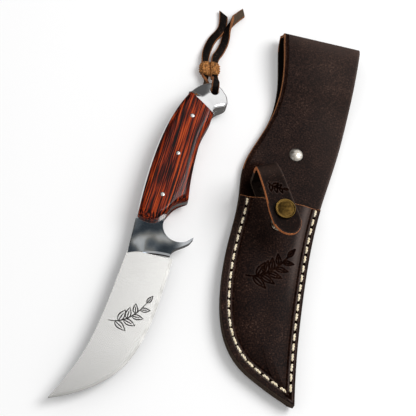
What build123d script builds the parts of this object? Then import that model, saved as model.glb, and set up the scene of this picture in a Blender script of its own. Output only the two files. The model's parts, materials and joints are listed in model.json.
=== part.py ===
from build123d import *
import math
import os

# A fixed-blade skinning knife with a full tang, wooden scales, polished pommel and leather
# lanyard, lying beside its stitched leather sheath.  Millimetres, +Z up.
# The knife and the sheath are each drawn flat in a frame of their own and then set down.

# ---- knife ----
blade_length = 106.0        # plunge to tip, along the knife's own Y
blade_width = 28.5          # spine to edge, across the heel
steel = 4.0                 # stock of the blade and tang
edge_bevel = 1.7            # width of the sharpened bevel
bevel_steel = 1.1           # thickness where the bevel starts
edge_steel = 0.25           # thickness of the edge itself
distal_taper = 0.7          # share of the spine's thickness that is lost at the tip
tip_steel = 0.5             # least thickness at the tip
blade_sections = 14
plunge_chamfer = 1.0
ricasso_length = 19.0       # plunge to the front of the scales, on the spine side
ricasso_spine = 15.9        # knife's axis to the spine, at the scales
jimp_count = 9              # thumb grooves on the ricasso's spine
jimp_pitch = 1.75
jimp_radius = 0.62
notch_radius = 10.4         # finger notch between the hook and the scales
notch_x = 11.2
notch_y = 23.6
hook_reach = 21.4           # knife's axis to the hook's tip
handle_length = 126.4       # plunge to the end of the pommel
handle_back = 19.6          # knife's axis to the handle's spine side, at the palm
handle_waist = 4.9          # knife's axis to the handle's edge side, at its narrowest
horn_reach = 10.6           # knife's axis to the scales' horn
horn_y = 41.4
beak_reach = 12.8           # knife's axis to the pommel's beak
beak_length = 12.4          # pommel's end to its beak
scale_thickness = 7.0       # one scale
scale_setback = 2.0         # scales' front behind the end of the ricasso, on the spine side
scale_round = 3.6           # rounding of the scales' outer edges, along the grip
front_round = 1.3           # the same at their front end and along the finger notch
pommel_length = 20.1        # pommel's end to its joint with the scales, on the axis
pommel_joint_slope = -26.0  # degrees
pommel_end = 3.6            # pommel half's thickness at its far end
pommel_round = 2.0
pin_radius = 1.45
pin_x = -5.5
first_pin_y = 37.0
last_pin_gap = 10.5         # last pin to the pommel's joint
pin_shares = (0, 0.517, 1)  # pins, as shares of the way from the first to the last
dowel_radius = 1.3          # hidden dowels of the pommel
dowel_depth = 3.0           # how far a dowel goes into each pommel half
dowels = ((-4.6, 8.3), (6.6, 9.1))  # from the axis, and from the pommel's joint
tube_x = 2.2                # lanyard tube
tube_gap = 6.8              # lanyard tube to the pommel's end
tube_bore = 2.7
tube_wall = 0.6

# ---- lanyard ----
thong = 2.0                 # thickness of the thong
bead_length = 10.0
bead_height = 7.2
bead_x = -6.4
bead_y = 140.4
bead_bore = 2.3             # radius of each of its two bores
strand_gap = 6.0            # between the two strands in the bead
strand_turn = 18.0          # degrees, from the knife's Y to the strands

# ---- sheath ----
leather = 2.4               # one layer
welt_thickness = 2.4
welt_width = 7.5
dome = 2.3                  # how far the pocket's middle is moulded up
dome_slope = 4.5            # width of the slope around the dome
mouth_width = 51.0
mouth_flare = 0.6           # extra width on the edge side of the mouth
pocket_length = 129.0       # mouth to tip
loop_length = 120.5         # mouth to the top fold
loop_width = 51.0           # width of the belt loop at its fold
loop_shift = 13.1           # loop's middle to the pocket's middle, across, at the fold
loop_height = 16.0          # outside height of the fold
loop_start = 48.0           # where the front layer starts to rise
shoulder_y = 24.0           # where the spine side starts to narrow above the mouth
waist_y = 66.0              # where it has narrowed to the belt loop
flap_end = -20.0            # lower end of the folded flap, behind the pocket
spine_seam_inset = 4.9      # edge of the leather to the stitches, on the spine side
edge_seam_inset = 2.8       # and on the edge side
stitch_pitch = 6.4
stitch_length = 4.9
stitch_radius = 0.55

# ---- strap and hardware ----
strap_leather = 2.2
strap_width = 13.0
strap_head = 17.6           # width at the snap
strap_x = -14.2             # where the strap rises from the back panel
strap_y = 13.9
strap_turn = 26.0           # degrees from the sheath's own -Y
strap_height = 25.4         # panel to the middle of the crest
strap_bend = 3.6            # radius of the crest, to the middle of the leather
strap_rise = 4.0            # degrees that the front leg rises
strap_snap = 33.4           # root to snap
strap_tip = 48.6            # root to tip
foot_length = 10.5
foot_rivet_radius = 3.4
snap_cap_radius = 6.25
snap_cap_height = 1.9
snap_rim = 0.9
snap_post_radius = 1.9
socket_radius = 5.2
socket_height = 3.3
stud_ring_radius = 5.0
stud_ring_height = 0.9
stud_radius = 2.3
stud_height = 3.3
stud_flange = 0.6           # recessed flange under the front panel
rivet_x = 6.6
rivet_y = 37.2
rivet_cap_radius = 4.5
rivet_cap_height = 2.2
cap_rim = 0.2               # share of a cap's height that is its rim
rivet_post_radius = 1.9
rivet_back_radius = 4.0
rivet_back_height = 0.8

# ---- fits and placing ----
fit = 0.05                  # radial clearance of pins, posts and tubes
running = 0.3               # clearance between moving pieces
ply_gap = 0.1               # between the flap and the back panel in front of it
knife_at = (-36.0, -35.0)
knife_turn = -18.0          # degrees
sheath_at = (45.0, 5.5)
sheath_turn = -8.2

half_steel = steel / 2
handle_half = half_steel + scale_thickness
pommel_joint_y = handle_length - pommel_length
beak_y = handle_length - beak_length
tube_y = handle_length - tube_gap
dowel_places = [(x, pommel_joint_y + y) for x, y in dowels]
last_pin_y = pommel_joint_y - last_pin_gap
pin_places = [first_pin_y + share * (last_pin_y - first_pin_y) for share in pin_shares]
back_bottom = leather + ply_gap
back_top = back_bottom + leather
front_bottom = back_top + welt_thickness
front_top = front_bottom + leather
dome_top = front_top + dome


# ---------------------------------------------------------------- knife

def across_blade(share):
    return share * blade_width


def along_blade(share):
    return -share * blade_length


def blade_spine():
    """Spine of the ground blade, from the heel to the tip."""
    return Spline([(across_blade(x), along_blade(y)) for x, y in (
        (-0.478, 0.020), (-0.474, 0.240), (-0.488, 0.470), (-0.560, 0.670), (-0.685, 0.815),
        (-0.908, 0.992))])


def blade_edge():
    """Cutting edge with its deep belly, from the heel to the tip."""
    return Spline([(across_blade(x), along_blade(y)) for x, y in (
        (0.492, -0.020), (0.530, 0.230), (0.500, 0.470), (0.325, 0.670), (-0.070, 0.830),
        (-0.500, 0.930), (-0.890, 0.994))])


def blade_section(share):
    """A vertical section of the ground blade, at a share of the way from heel to tip."""
    spine, edge = blade_spine() @ share, blade_edge() @ share
    chord = (edge - spine).length
    across = (edge - spine).normalized()
    half = max(half_steel * (1 - distal_taper * share ** 4), tip_steel / 2)
    bevel = min(edge_bevel, 0.3 * chord)
    shoulder = min(bevel_steel / 2, 0.7 * half)
    sharp = min(edge_steel / 2, 0.4 * half)
    profile = Polyline(
        (0, half), (chord - bevel, shoulder), (chord, sharp),
        (chord, -sharp), (chord - bevel, -shoulder), (0, -half), close=True)
    return Plane(origin=spine, x_dir=across,
                 z_dir=across.cross(Vector(0, 0, 1))) * make_face(profile)


def ground_blade():
    """Blade, full thickness along its spine and ground down to the edge."""
    blade = loft([blade_section(i / blade_sections) for i in range(blade_sections + 1)])
    return blade & Box(4 * blade_width, 3 * blade_length, steel)


def spine_at(y):
    """Spine side of the ricasso, a straight line from the plunge to the scales."""
    heel = (blade_spine() @ 0).X
    return heel + (-ricasso_spine - heel) * (y / ricasso_length)


def tang_outline():
    """Ricasso, hook, finger notch, handle and pommel as one flat outline."""
    joint = (spine_at(ricasso_length), ricasso_length)
    pommel_left = (-handle_back + 7.4, handle_length - 12.0)
    back = Spline(
        joint, (-0.93 * handle_back, 0.32 * handle_length), (-handle_back, 0.53 * handle_length),
        (-0.92 * handle_back, 0.735 * handle_length), pommel_left)
    crown = Spline(
        pommel_left, (-0.41 * handle_back, handle_length - 4.9), (0.6, handle_length),
        (7.6, handle_length - 3.9), (beak_reach - 0.3, beak_y + 1.4),
        tangents=(back % 1, (0.3, -1)))
    beak = Spline(crown @ 1, (beak_reach - 0.7, beak_y - 1.0), (8.3, beak_y - 4.7),
                  (6.2, beak_y - 9.4))
    edge = Spline(
        beak @ 1, (handle_waist, 0.70 * handle_length), (handle_waist + 0.3, 0.6 * handle_length),
        (handle_waist + 2.3, 0.46 * handle_length), (horn_reach, horn_y),
        tangents=(beak % 1, (0.25, -1)))
    notch = CenterArc((notch_x, notch_y), notch_radius, 180, 130)
    horn = Spline((horn_reach, horn_y), (3.6, 35.6), (1.25, 29.6), notch @ 0,
                  tangents=((-0.86, -0.5), notch % 0))
    hook_top = (hook_reach - 0.2, 19.6)
    hook_bottom = (hook_reach - 0.4, 17.9)
    hook_in = Spline(notch @ 1, hook_top, tangents=(notch % 1, (0.75, 0.65)))
    hook_tip = ThreePointArc(hook_top, (hook_reach, 18.9), hook_bottom)
    hook_out = Spline(hook_bottom, (16.6, 11.6), (11.9, 5.8), (11.8, 3.2))
    plunge = Spline((11.8, 3.2), (-3.1, -0.3), (spine_at(-5.5), -5.5))
    spine = Line(plunge @ 1, joint)
    return make_face([back, crown, beak, edge, horn, notch, hook_in, hook_tip, hook_out,
                      plunge, spine])


def above_scale_front():
    """Everything on the pommel's side of the scales' front edge."""
    start = ricasso_length + scale_setback
    front = Spline((-40, start + 2), (-ricasso_spine, start), (-10, start - 1.2),
                   (-4, start + 0.8), (0.8, 28.1), (8, 31.6))
    sides = Polyline((8, 31.6), (60, 31.6), (60, 200), (-40, 200), (-40, start + 2))
    return make_face([front, sides])


def pommel_side():
    """Everything beyond the joint of scales and pommel."""
    return joint_frame() * Rectangle(200, 100, align=(Align.CENTER, Align.MIN))


def pin_holes(radius):
    return [Pos(pin_x, y) * Circle(radius) for y in pin_places]


def dowel_holes(radius):
    return [Pos(x, y) * Circle(radius) for x, y in dowel_places]


def tube_hole():
    return Pos(tube_x, tube_y) * Circle(tube_bore + tube_wall + fit)


def jimping():
    """Thumb grooves along the ricasso's spine."""
    grooves = []
    for i in range(jimp_count):
        y = ricasso_length - 3.6 - i * jimp_pitch
        grooves.append(Pos(spine_at(y) - 0.1, y) * Circle(jimp_radius))
    return grooves


def blade_tang():
    """Ground blade, ricasso, hook and full tang in one piece of steel."""
    flat = tang_outline() - jimping() - pin_holes(pin_radius + fit) - dowel_holes(
        dowel_radius + fit) - tube_hole()
    plate = extrude(flat, half_steel, both=True)
    plunge = [edge for edge in plate.edges()
              if abs(edge.center().Y) < 2 and edge.bounding_box().size.X > 0.6 * blade_width]
    return chamfer(plunge, plunge_chamfer) + ground_blade()


def joint_frame():
    """Frame on the joint of scales and pommel: X along it, Y towards the pommel's end."""
    return Pos(0, pommel_joint_y) * Rot(0, 0, pommel_joint_slope)


def outer_rim(solid, face):
    """Edges around an outer face, without the one where scales and pommel meet."""
    joint = joint_frame().inverse()
    return [edge for edge in face.edges() if abs((joint * edge).center().Y) > 0.6]


def scale():
    """Front scale; the back one is its mirror image."""
    flat = (tang_outline() & above_scale_front()) - pommel_side()
    solid = Pos(0, 0, half_steel) * extrude(flat, scale_thickness)
    for rounding, at_front in ((scale_round, False), (front_round, True)):
        rim = outer_rim(solid, solid.faces().sort_by(Axis.Z)[-1])
        solid = fillet([edge for edge in rim if (edge.center().Y < horn_y) == at_front], rounding)
    holes = [Pos(0, 0, half_steel) * extrude(hole, scale_thickness)
             for hole in pin_holes(pin_radius + fit)]
    return solid - holes


def pommel_half_at(reach):
    """Half of the pommel's thickness, at a distance from its joint with the scales."""
    full_reach = handle_length - pommel_joint_y
    return handle_half - (handle_half - half_steel - pommel_end) * reach / full_reach


def pommel():
    """Front half of the pommel; it thins towards its end, to let the thong lie flat."""
    flat = tang_outline() & pommel_side()
    solid = Pos(0, 0, half_steel) * extrude(flat, scale_thickness)
    far = 60
    side = Polyline((0, handle_half), (far, pommel_half_at(far)), (far, 2 * handle_half),
                    (0, 2 * handle_half), close=True)
    thinning = joint_frame() * extrude(Plane.YZ * make_face(side), far, both=True)
    solid = solid - thinning
    solid = fillet(outer_rim(solid, solid.faces().sort_by(Axis.Z)[-1]), pommel_round)
    tube = extrude(tube_hole(), 2 * handle_half, both=True)
    dowels = [Pos(0, 0, half_steel) * extrude(hole, dowel_depth + fit)
              for hole in dowel_holes(dowel_radius + fit)]
    return solid - tube - dowels


def mirrored(solid):
    return mirror(solid, about=Plane.XY)


def handle_pin(y):
    """Solid pin through both scales and the tang, polished flush."""
    return Pos(pin_x, y) * Cylinder(pin_radius, 2 * handle_half)


def pommel_dowels():
    return [Pos(x, y) * Cylinder(dowel_radius, steel + 2 * dowel_depth) for x, y in dowel_places]


def lanyard_tube():
    """Tube through the pommel, for the thong."""
    reach = (joint_frame().inverse() * Pos(tube_x, tube_y)).position.Y
    half = pommel_half_at(reach + tube_bore + tube_wall)
    wall = Circle(tube_bore + tube_wall) - Circle(tube_bore)
    return Pos(tube_x, tube_y) * extrude(wall, half, both=True)


# ---------------------------------------------------------------- lanyard

strand_way = Vector(0, 1, 0).rotate(Axis.Z, strand_turn)
strand_side = Vector(1, 0, 0).rotate(Axis.Z, strand_turn)
bead_middle = Vector(bead_x, bead_y, bead_height / 2 - handle_half)


def in_bead(side, along):
    """A point on one of the two strands, measured from the bead's middle."""
    return tuple(bead_middle + strand_side * (side * strand_gap / 2) + strand_way * along)


# Routes of the thong's two strands, from the middle of the tube to the cut ends.
low = 1.1 - handle_half     # middle of a thong that lies flat
front_route = (
    (tube_x, tube_y, 0), (tube_x, tube_y, 9.0), (0.2, 127.0, 8.4), in_bead(1, -8.5),
    in_bead(1, 8.0), (-3.9, 156.5, low + 0.4), (-3.2, 166.5, low), (-5.6, 175.5, low + 1.2),
    (-2.6, 184.0, low + 1.6), (1.4, 191.5, low + 0.3))
back_route = (
    (tube_x, tube_y, 0), (tube_x, tube_y, -7.9), (-2.6, 126.0, -7.8), in_bead(-1, -7.5),
    in_bead(-1, 8.0), (-11.6, 155.5, low), (-10.9, 164.5, low), (-8.4, 172.0, low),
    (-9.4, 179.0, low), (-12.2, 185.0, low + 0.2))


def largest_radii(route):
    """The largest arc that each corner's two runs allow."""
    points = [Vector(*p) for p in route]
    radii = []
    for a, b, c in zip(points, points[1:], points[2:]):
        turn = math.radians((b - a).get_angle(c - b))
        radii.append(0.45 * min((b - a).length, (c - b).length) / math.tan(turn / 2))
    return radii


def thong_strand(route):
    """One strand of the thong, as a plain round tube along its route."""
    path = FilletPolyline(*route, radius=largest_radii(route))
    start = Plane(origin=path @ 0, z_dir=path % 0)
    strand = sweep(start * Circle(thong / 2), path=path)
    print("strand length", round(path.length, 1), "radii",
          [round(r, 1) for r in largest_radii(route)],
          "volume over section times length",
          round(strand.volume / (math.pi * thong ** 2 / 4 * path.length), 4))
    return strand


def lanyard_bead():
    """Two-bore bead that holds the strands together and slides along them."""
    radius = bead_height / 2
    lobes = [Pos(side * strand_gap / 2, 0) * Circle(radius) for side in (-1, 1)]
    waist = Rectangle(strand_gap, 1.5 * radius)
    outline = lobes[0] + lobes[1] + waist
    bores = [Pos(side * strand_gap / 2, 0) * Circle(bead_bore) for side in (-1, 1)]
    block = extrude(outline, bead_length / 2, both=True)
    block = chamfer(block.faces().sort_by(Axis.Z)[-1].edges()
                    + block.faces().sort_by(Axis.Z)[0].edges(), 0.6)
    block = block - extrude(bores[0] + bores[1], bead_length, both=True)
    return Pos(*bead_middle) * Rot(0, 0, strand_turn) * Rot(-90, 0, 0) * block


# ---------------------------------------------------------------- sheath

def left_edge():
    """Spine side of the pocket, from the mouth round to the tip."""
    half = mouth_width / 2
    return Spline(
        (-half, 0), (-1.09 * half, -0.22 * pocket_length), (-1.135 * half, -0.42 * pocket_length),
        (-1.085 * half, -0.565 * pocket_length), (-0.885 * half, -0.725 * pocket_length),
        (-0.43 * half, -0.855 * pocket_length), (0.18 * half, -0.932 * pocket_length),
        (0.96 * half, -pocket_length), tangents=((0, -1), (1, -0.22)))


def right_edge():
    """Edge side of the pocket, from the tip up to the mouth."""
    half = mouth_width / 2
    return Spline(
        left_edge() @ 1, (0.87 * half, -0.72 * pocket_length),
        (0.86 * half, -0.48 * pocket_length), (half + mouth_flare, 0),
        tangents=((-0.1, 1), (0.16, 1)))


def sheath_outline():
    """Outline of the back panel and its belt loop, as far as the fold."""
    half = mouth_width / 2
    past = loop_length + leather
    loop_left = loop_shift - loop_width / 2
    loop_right = loop_shift + loop_width / 2
    upper_right = Spline(
        right_edge() @ 1, (half + 0.67 * (loop_right - half), 0.4 * loop_length),
        (loop_right, past),
        tangents=((0.16, 1), (0.03, 1)))
    across = Line((loop_right, past), (loop_left, past))
    upper_left = Spline(
        (loop_left, past), (loop_left + 1.6, 0.72 * loop_length), (loop_left + 0.5, waist_y),
        (-0.72 * half, shoulder_y + 20.5), (-half, shoulder_y), (-half, 0),
        tangents=((0.05, -1), (0, -1)))
    return make_face([left_edge(), right_edge(), upper_right, across, upper_left])


def below_mouth():
    return Pos(0, -pocket_length) * Rectangle(4 * mouth_width, 2 * pocket_length)


def pocket_face():
    return sheath_outline() & below_mouth()


def inset_points(edge, other, inset):
    """Points beside one side of the pocket, as far as the other side leaves room."""
    count = 14
    points = []
    for i in range(count + 1):
        way = edge % (i / count)
        spot = edge @ (i / count) + Vector(-way.Y, way.X, 0) * inset
        if other.distance_to(Vertex(*spot)) >= inset:
            points.append(spot)
    return points


def inner_face(inset):
    """Outline of the pocket's inside, open at the mouth."""
    left, right = left_edge(), right_edge()
    down = inset_points(left, right, inset)
    up = inset_points(right, left, inset)
    down.insert(0, down[0] - (left % 0) * inset)
    up.append(up[-1] + (right % 1) * inset)
    face = make_face([Spline(down), Line(down[-1], up[0]), Spline(up), Line(up[-1], down[0])])
    return face & below_mouth()


def loop_profile():
    """Side view of the back panel: up the front, over the fold and down the flap behind."""
    panel = back_bottom + leather / 2
    flap = leather / 2
    crest = loop_height - leather / 2
    radius = (crest - flap) / 2
    fold = loop_length - radius - leather / 2
    halfway = ((loop_start + fold) / 2, (panel + crest) / 2)
    flat = Line((-1.2 * pocket_length, panel), (loop_start, panel))
    rise = TangentArc(flat @ 1, halfway, tangent=flat % 1)
    level = TangentArc(halfway, (fold, crest), tangent=rise % 1)
    over = ThreePointArc((fold, crest), (fold + radius, (crest + flap) / 2), (fold, flap))
    behind = Line((fold, flap), (flap_end, flap))
    return trace([flat, rise, level, over, behind], leather)


def rivet_place():
    return Pos(rivet_x, rivet_y)


def strap_place():
    """Frame at the strap's root on the back panel; the strap leads along its -Y."""
    return Pos(strap_x, strap_y, back_top) * Rot(0, 0, strap_turn)


def stud_place():
    return strap_place() * Pos(0, -strap_snap, dome_top - back_top)


def back_panel():
    """Back of the pocket, belt loop and folded flap, cut from one piece of leather."""
    blank = extrude(sheath_outline(), 2 * loop_height)
    folded = extrude(Plane.YZ * loop_profile(), 4 * mouth_width, both=True)
    rivet_hole = Cylinder(rivet_post_radius + fit, 3 * back_top)
    rivet_seat = Cylinder(rivet_back_radius + fit, 2 * (rivet_back_height + ply_gap))
    foot_hole = strap_place() * foot_rivet_middle() * Cylinder(snap_post_radius + fit,
                                                               3 * leather)
    foot_seat = strap_place() * foot_rivet_middle() * Pos(0, 0, -leather) * Cylinder(
        foot_rivet_radius + fit, 2 * rivet_back_height)
    flap_clear = strap_place() * foot_rivet_middle() * Pos(0, 0, -back_top) * Cylinder(
        foot_rivet_radius + 1, 2 * leather)
    panel = blank & folded
    holes = rivet_place() * (rivet_hole + rivet_seat)
    return panel - holes - ((foot_hole + foot_seat) - flap_clear)


def welt():
    """Spacer strip that runs round the pocket's seam."""
    return Pos(0, 0, back_top) * extrude(pocket_face() - inner_face(welt_width), welt_thickness)


def dome_block(height):
    """Raised middle of the front panel, from its foot to its flat top."""
    return loft([Pos(0, 0, height) * inner_face(welt_width),
                 Pos(0, 0, height + dome) * inner_face(welt_width + dome_slope)], ruled=True)


def front_panel():
    """Front of the pocket, moulded up in its middle to clear the blade."""
    slab = Pos(0, 0, front_bottom) * extrude(pocket_face(), leather)
    solid = slab + dome_block(front_top) - dome_block(front_bottom)
    eyelet = stud_place() * Cylinder(snap_post_radius + fit, 4 * leather)
    flange = stud_place() * Pos(0, 0, -leather) * Cylinder(stud_ring_radius + fit,
                                                          2 * stud_flange)
    return solid - eyelet - flange


def seam_places(edge, other, stitch_inset):
    """Middle and direction of each stitch along one side of the pocket's seam."""
    count = int((edge.length - stitch_inset) // stitch_pitch)
    places = []
    for i in range(count):
        along = (i + 0.6) * stitch_pitch
        if edge.position_at(0).Y < -1:
            along = edge.length - along
        on_edge = edge.position_at(along, position_mode=PositionMode.LENGTH)
        way = edge.tangent_at(along, position_mode=PositionMode.LENGTH)
        spot = on_edge + Vector(-way.Y, way.X, 0) * stitch_inset
        if other.distance_to(Vertex(*spot)) > stitch_inset - stitch_radius:
            places.append((spot, math.degrees(math.atan2(way.Y, way.X))))
    return places


def stitching(level, upward, lowest=None):
    """Row of thread stitches lying on a face of the sheath."""
    half_round = Circle(stitch_radius) & Pos(0, stitch_radius) * Rectangle(
        3 * stitch_radius, 2 * stitch_radius)
    if not upward:
        half_round = mirror(half_round, about=Plane.XZ)
    stitch = extrude(Plane.YZ * half_round, stitch_length / 2, both=True)
    left, right = left_edge(), right_edge()
    places = (seam_places(left, right, spine_seam_inset)
              + seam_places(right, left, edge_seam_inset))
    return [Pos(spot.X, spot.Y, level) * Rot(0, 0, turn) * stitch for spot, turn in places
            if lowest is None or spot.Y < lowest]


def front_stitching():
    return stitching(front_top, True)


def back_stitching():
    return stitching(back_bottom, False, lowest=flap_end - stitch_length)


def standing(radius, height):
    """Round post or disc that stands on its own origin."""
    return Cylinder(radius, height, align=(Align.CENTER, Align.CENTER, Align.MIN))


def dome_cap(radius, height):
    """Rivet cap: part of a ball on a low rim."""
    rise = (1 - cap_rim) * height
    ball = (radius ** 2 + rise ** 2) / (2 * rise)
    return standing(radius, height) & Pos(0, 0, height - ball) * Sphere(ball)


def loop_rivet_cap():
    return rivet_place() * Pos(0, 0, back_top) * dome_cap(rivet_cap_radius, rivet_cap_height)


def loop_rivet_post():
    """Post and flush back disc of the belt loop's rivet."""
    disc = Pos(0, 0, ply_gap) * standing(rivet_back_radius, rivet_back_height)
    post = Pos(0, 0, ply_gap) * standing(rivet_post_radius, back_top - ply_gap)
    return rivet_place() * (disc + post)


# ---------------------------------------------------------------- strap and snap

def foot_start():
    """Edge of the foot next to the strap's rounded lower end."""
    return strap_leather / 2 + running


def foot_rivet_middle():
    return Pos(0, -foot_start() - foot_length / 2)


def root_hinge():
    """Height of the bend where the strap leaves its foot."""
    return strap_leather / 2 + running


def strap_foot():
    """Fixed end of the strap, flat on the back panel."""
    foot = Pos(0, -foot_start() - foot_length / 2, strap_leather / 2) * Box(
        strap_width, foot_length, strap_leather)
    return foot - foot_rivet_middle() * Cylinder(snap_post_radius + fit, 4 * leather)


def foot_rivet():
    """Low rivet through the strap's foot and the back panel."""
    head = Pos(0, 0, strap_leather) * dome_cap(foot_rivet_radius, 1.0)
    post = Pos(0, 0, -leather + rivet_back_height / 2) * standing(
        snap_post_radius, leather - rivet_back_height / 2 + strap_leather)
    disc = Pos(0, 0, -leather) * standing(foot_rivet_radius, rivet_back_height)
    return foot_rivet_middle() * (head + post + disc)


def bend_end():
    """Where the crest's bend ends and the front leg's straight line starts, as (y, z)."""
    turn = math.radians(90 - strap_rise)
    return (strap_bend * (math.cos(turn) - 1),
            strap_height - strap_bend + strap_bend * math.sin(turn))


def crest_hinge():
    """Frame at the front leg's own bend, just past the crest; the leg leads along its -Y."""
    y, z = bend_end()
    return Pos(0, y, z) * Rot(-strap_rise, 0, 0) * Pos(0, -strap_leather / 2 - running, 0)


def strap_riser():
    """Standing part of the strap and its crest."""
    top = (0, strap_height - strap_bend)
    rise = Line((0, root_hinge()), top)
    turn = math.radians(45 - strap_rise / 2)
    crest = ThreePointArc(
        top, (strap_bend * (math.cos(turn) - 1), top[1] + strap_bend * math.sin(turn)), bend_end())
    side = trace([rise, crest], strap_leather) + Pos(*rise @ 0) * Circle(strap_leather / 2)
    return extrude(Plane.YZ * side, strap_width / 2, both=True)


def snap_along():
    """Distance from the front leg's bend to the snap, along the leg."""
    return (strap_snap + crest_hinge().position.Y) / math.cos(math.radians(strap_rise))


def strap_leg():
    """Front leg of the strap, wider at the snap, with a round tip."""
    tip = (strap_tip + crest_hinge().position.Y) / math.cos(math.radians(strap_rise))
    wide, narrow = strap_head / 2, strap_width / 2
    shoulder = tip - wide
    sides = []
    for side in (-1, 1):
        sides.append(Spline((side * narrow, 0), (side * (narrow + wide) / 2, -0.45 * shoulder),
                            (side * wide, -shoulder), tangents=((0, -1), (0, -1))))
    end = ThreePointArc((-wide, -shoulder), (0, -tip), (wide, -shoulder))
    outline = make_face([sides[0], end, sides[1], Line((narrow, 0), (-narrow, 0))])
    leg = extrude(outline, strap_leather / 2, both=True)
    bend = Rot(0, 90, 0) * Cylinder(strap_leather / 2, strap_width)
    hole = Pos(0, -snap_along()) * Cylinder(snap_post_radius + fit, 4 * strap_leather)
    return crest_hinge() * (leg + bend - hole)


def on_leg(level):
    """Frame at the snap, at a height over the middle of the front leg's leather."""
    return crest_hinge() * Pos(0, -snap_along(), level)


def snap_cap():
    """Snap's cap with a raised rim, and the post that holds its socket."""
    disc = standing(snap_cap_radius, snap_cap_height)
    disc = fillet(disc.edges().sort_by(Axis.Z)[-1], 0.6)
    dish = Pos(0, 0, snap_cap_height - 0.5) * standing(snap_cap_radius - snap_rim, 1)
    post = Pos(0, 0, -strap_leather) * standing(snap_post_radius, strap_leather)
    return on_leg(strap_leather / 2) * (disc - dish + post)


def snap_socket():
    """Socket under the strap that grips the stud."""
    body = Pos(0, 0, -socket_height) * standing(socket_radius, socket_height)
    bore = Pos(0, 0, -socket_height) * standing(stud_radius + running, socket_height - 0.6)
    return on_leg(-strap_leather / 2) * (body - bore)


def snap_stud():
    """Ring and stud on the pocket's front."""
    ring = standing(stud_ring_radius, stud_ring_height)
    ring = fillet(ring.edges().sort_by(Axis.Z)[-1], 0.4)
    neck = standing(0.8 * stud_radius, stud_height)
    bulb = Pos(0, 0, 0.5 * stud_height) * standing(stud_radius, 0.5 * stud_height)
    bulb = fillet(bulb.edges().sort_by(Axis.Z)[-1], 0.5)
    return ring + neck + bulb


def stud_eyelet():
    """Eyelet under the front panel that the stud is set on."""
    flange = Pos(0, 0, -leather) * standing(stud_ring_radius, stud_flange)
    return flange + Pos(0, 0, -leather) * standing(snap_post_radius, leather)


# ---------------------------------------------------------------- assembly

knife_place = Pos(*knife_at, handle_half) * Rot(0, 0, knife_turn)
sheath_place = Pos(*sheath_at) * Rot(0, 0, sheath_turn)
strap_on_sheath = sheath_place * strap_place()
stud_on_sheath = sheath_place * stud_place()

front_scale = scale()
front_pommel = pommel()
pieces = {
    "blade_tang": knife_place * blade_tang(),
    "scale_front": knife_place * front_scale,
    "scale_back": knife_place * mirrored(front_scale),
    "pommel_front": knife_place * front_pommel,
    "pommel_back": knife_place * mirrored(front_pommel),
    "pommel_dowels": [knife_place * dowel for dowel in pommel_dowels()],
    "lanyard_tube": knife_place * lanyard_tube(),
    "back_panel": sheath_place * back_panel(),
    "pocket_welt": sheath_place * welt(),
    "front_panel": sheath_place * front_panel(),
    "front_stitching": [sheath_place * stitch for stitch in front_stitching()],
    "back_stitching": [sheath_place * stitch for stitch in back_stitching()],
    "loop_rivet_cap": sheath_place * loop_rivet_cap(),
    "loop_rivet_post": sheath_place * loop_rivet_post(),
    "strap_foot": strap_on_sheath * strap_foot(),
    "strap_foot_rivet": strap_on_sheath * foot_rivet(),
    "strap_riser": strap_on_sheath * strap_riser(),
    "strap_leg": strap_on_sheath * strap_leg(),
    "snap_cap": strap_on_sheath * snap_cap(),
    "snap_socket": strap_on_sheath * snap_socket(),
    "snap_stud": stud_on_sheath * snap_stud(),
    "stud_eyelet": stud_on_sheath * stud_eyelet(),
}
for number, pin_y in enumerate(pin_places, start=1):
    pieces[f"handle_pin_{number}"] = knife_place * handle_pin(pin_y)

cord_pieces = {
    "lanyard_front": knife_place * thong_strand(front_route),
    "lanyard_back": knife_place * thong_strand(back_route),
    "lanyard_bead": knife_place * lanyard_bead(),
}


def solids_of(piece):
    """All solids of a piece, or of a list of pieces."""
    return [solid for one in (piece if isinstance(piece, list) else [piece])
            for solid in one.solids()]


# The origin is the middle of the knife and sheath together, on the surface they lie on.
box = Compound([solid for piece in pieces.values() for solid in solids_of(piece)]).bounding_box()
to_origin = Pos(-(box.min.X + box.max.X) / 2, -(box.min.Y + box.max.Y) / 2, 0)

os.makedirs("parts", exist_ok=True)
for node, piece in {**pieces, **cord_pieces}.items():
    export_step(to_origin * Compound(solids_of(piece)), f"parts/{node}.step")
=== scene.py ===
# %% [markdown]
# # A skinning knife beside its belt sheath
#
# The knife has a full tang: one plate of steel runs from the tip of the blade to the end of the
# handle, with a wooden scale and half a pommel on each side.  The sheath is cut from thick oiled
# leather, folded over into a belt loop and sewn round its edge with waxed thread.
# The solid model gives every piece its place.  This file gives each one its finish, and builds
# anew what is soft or has fine relief: the thong, the bead, the leather, the thread and the
# turned metal caps.

# %% Load the solid model
import json
import math

import bmesh
import bpy
import numpy as np
from mathutils import Matrix, Vector
from mathutils.bvhtree import BVHTree


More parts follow.
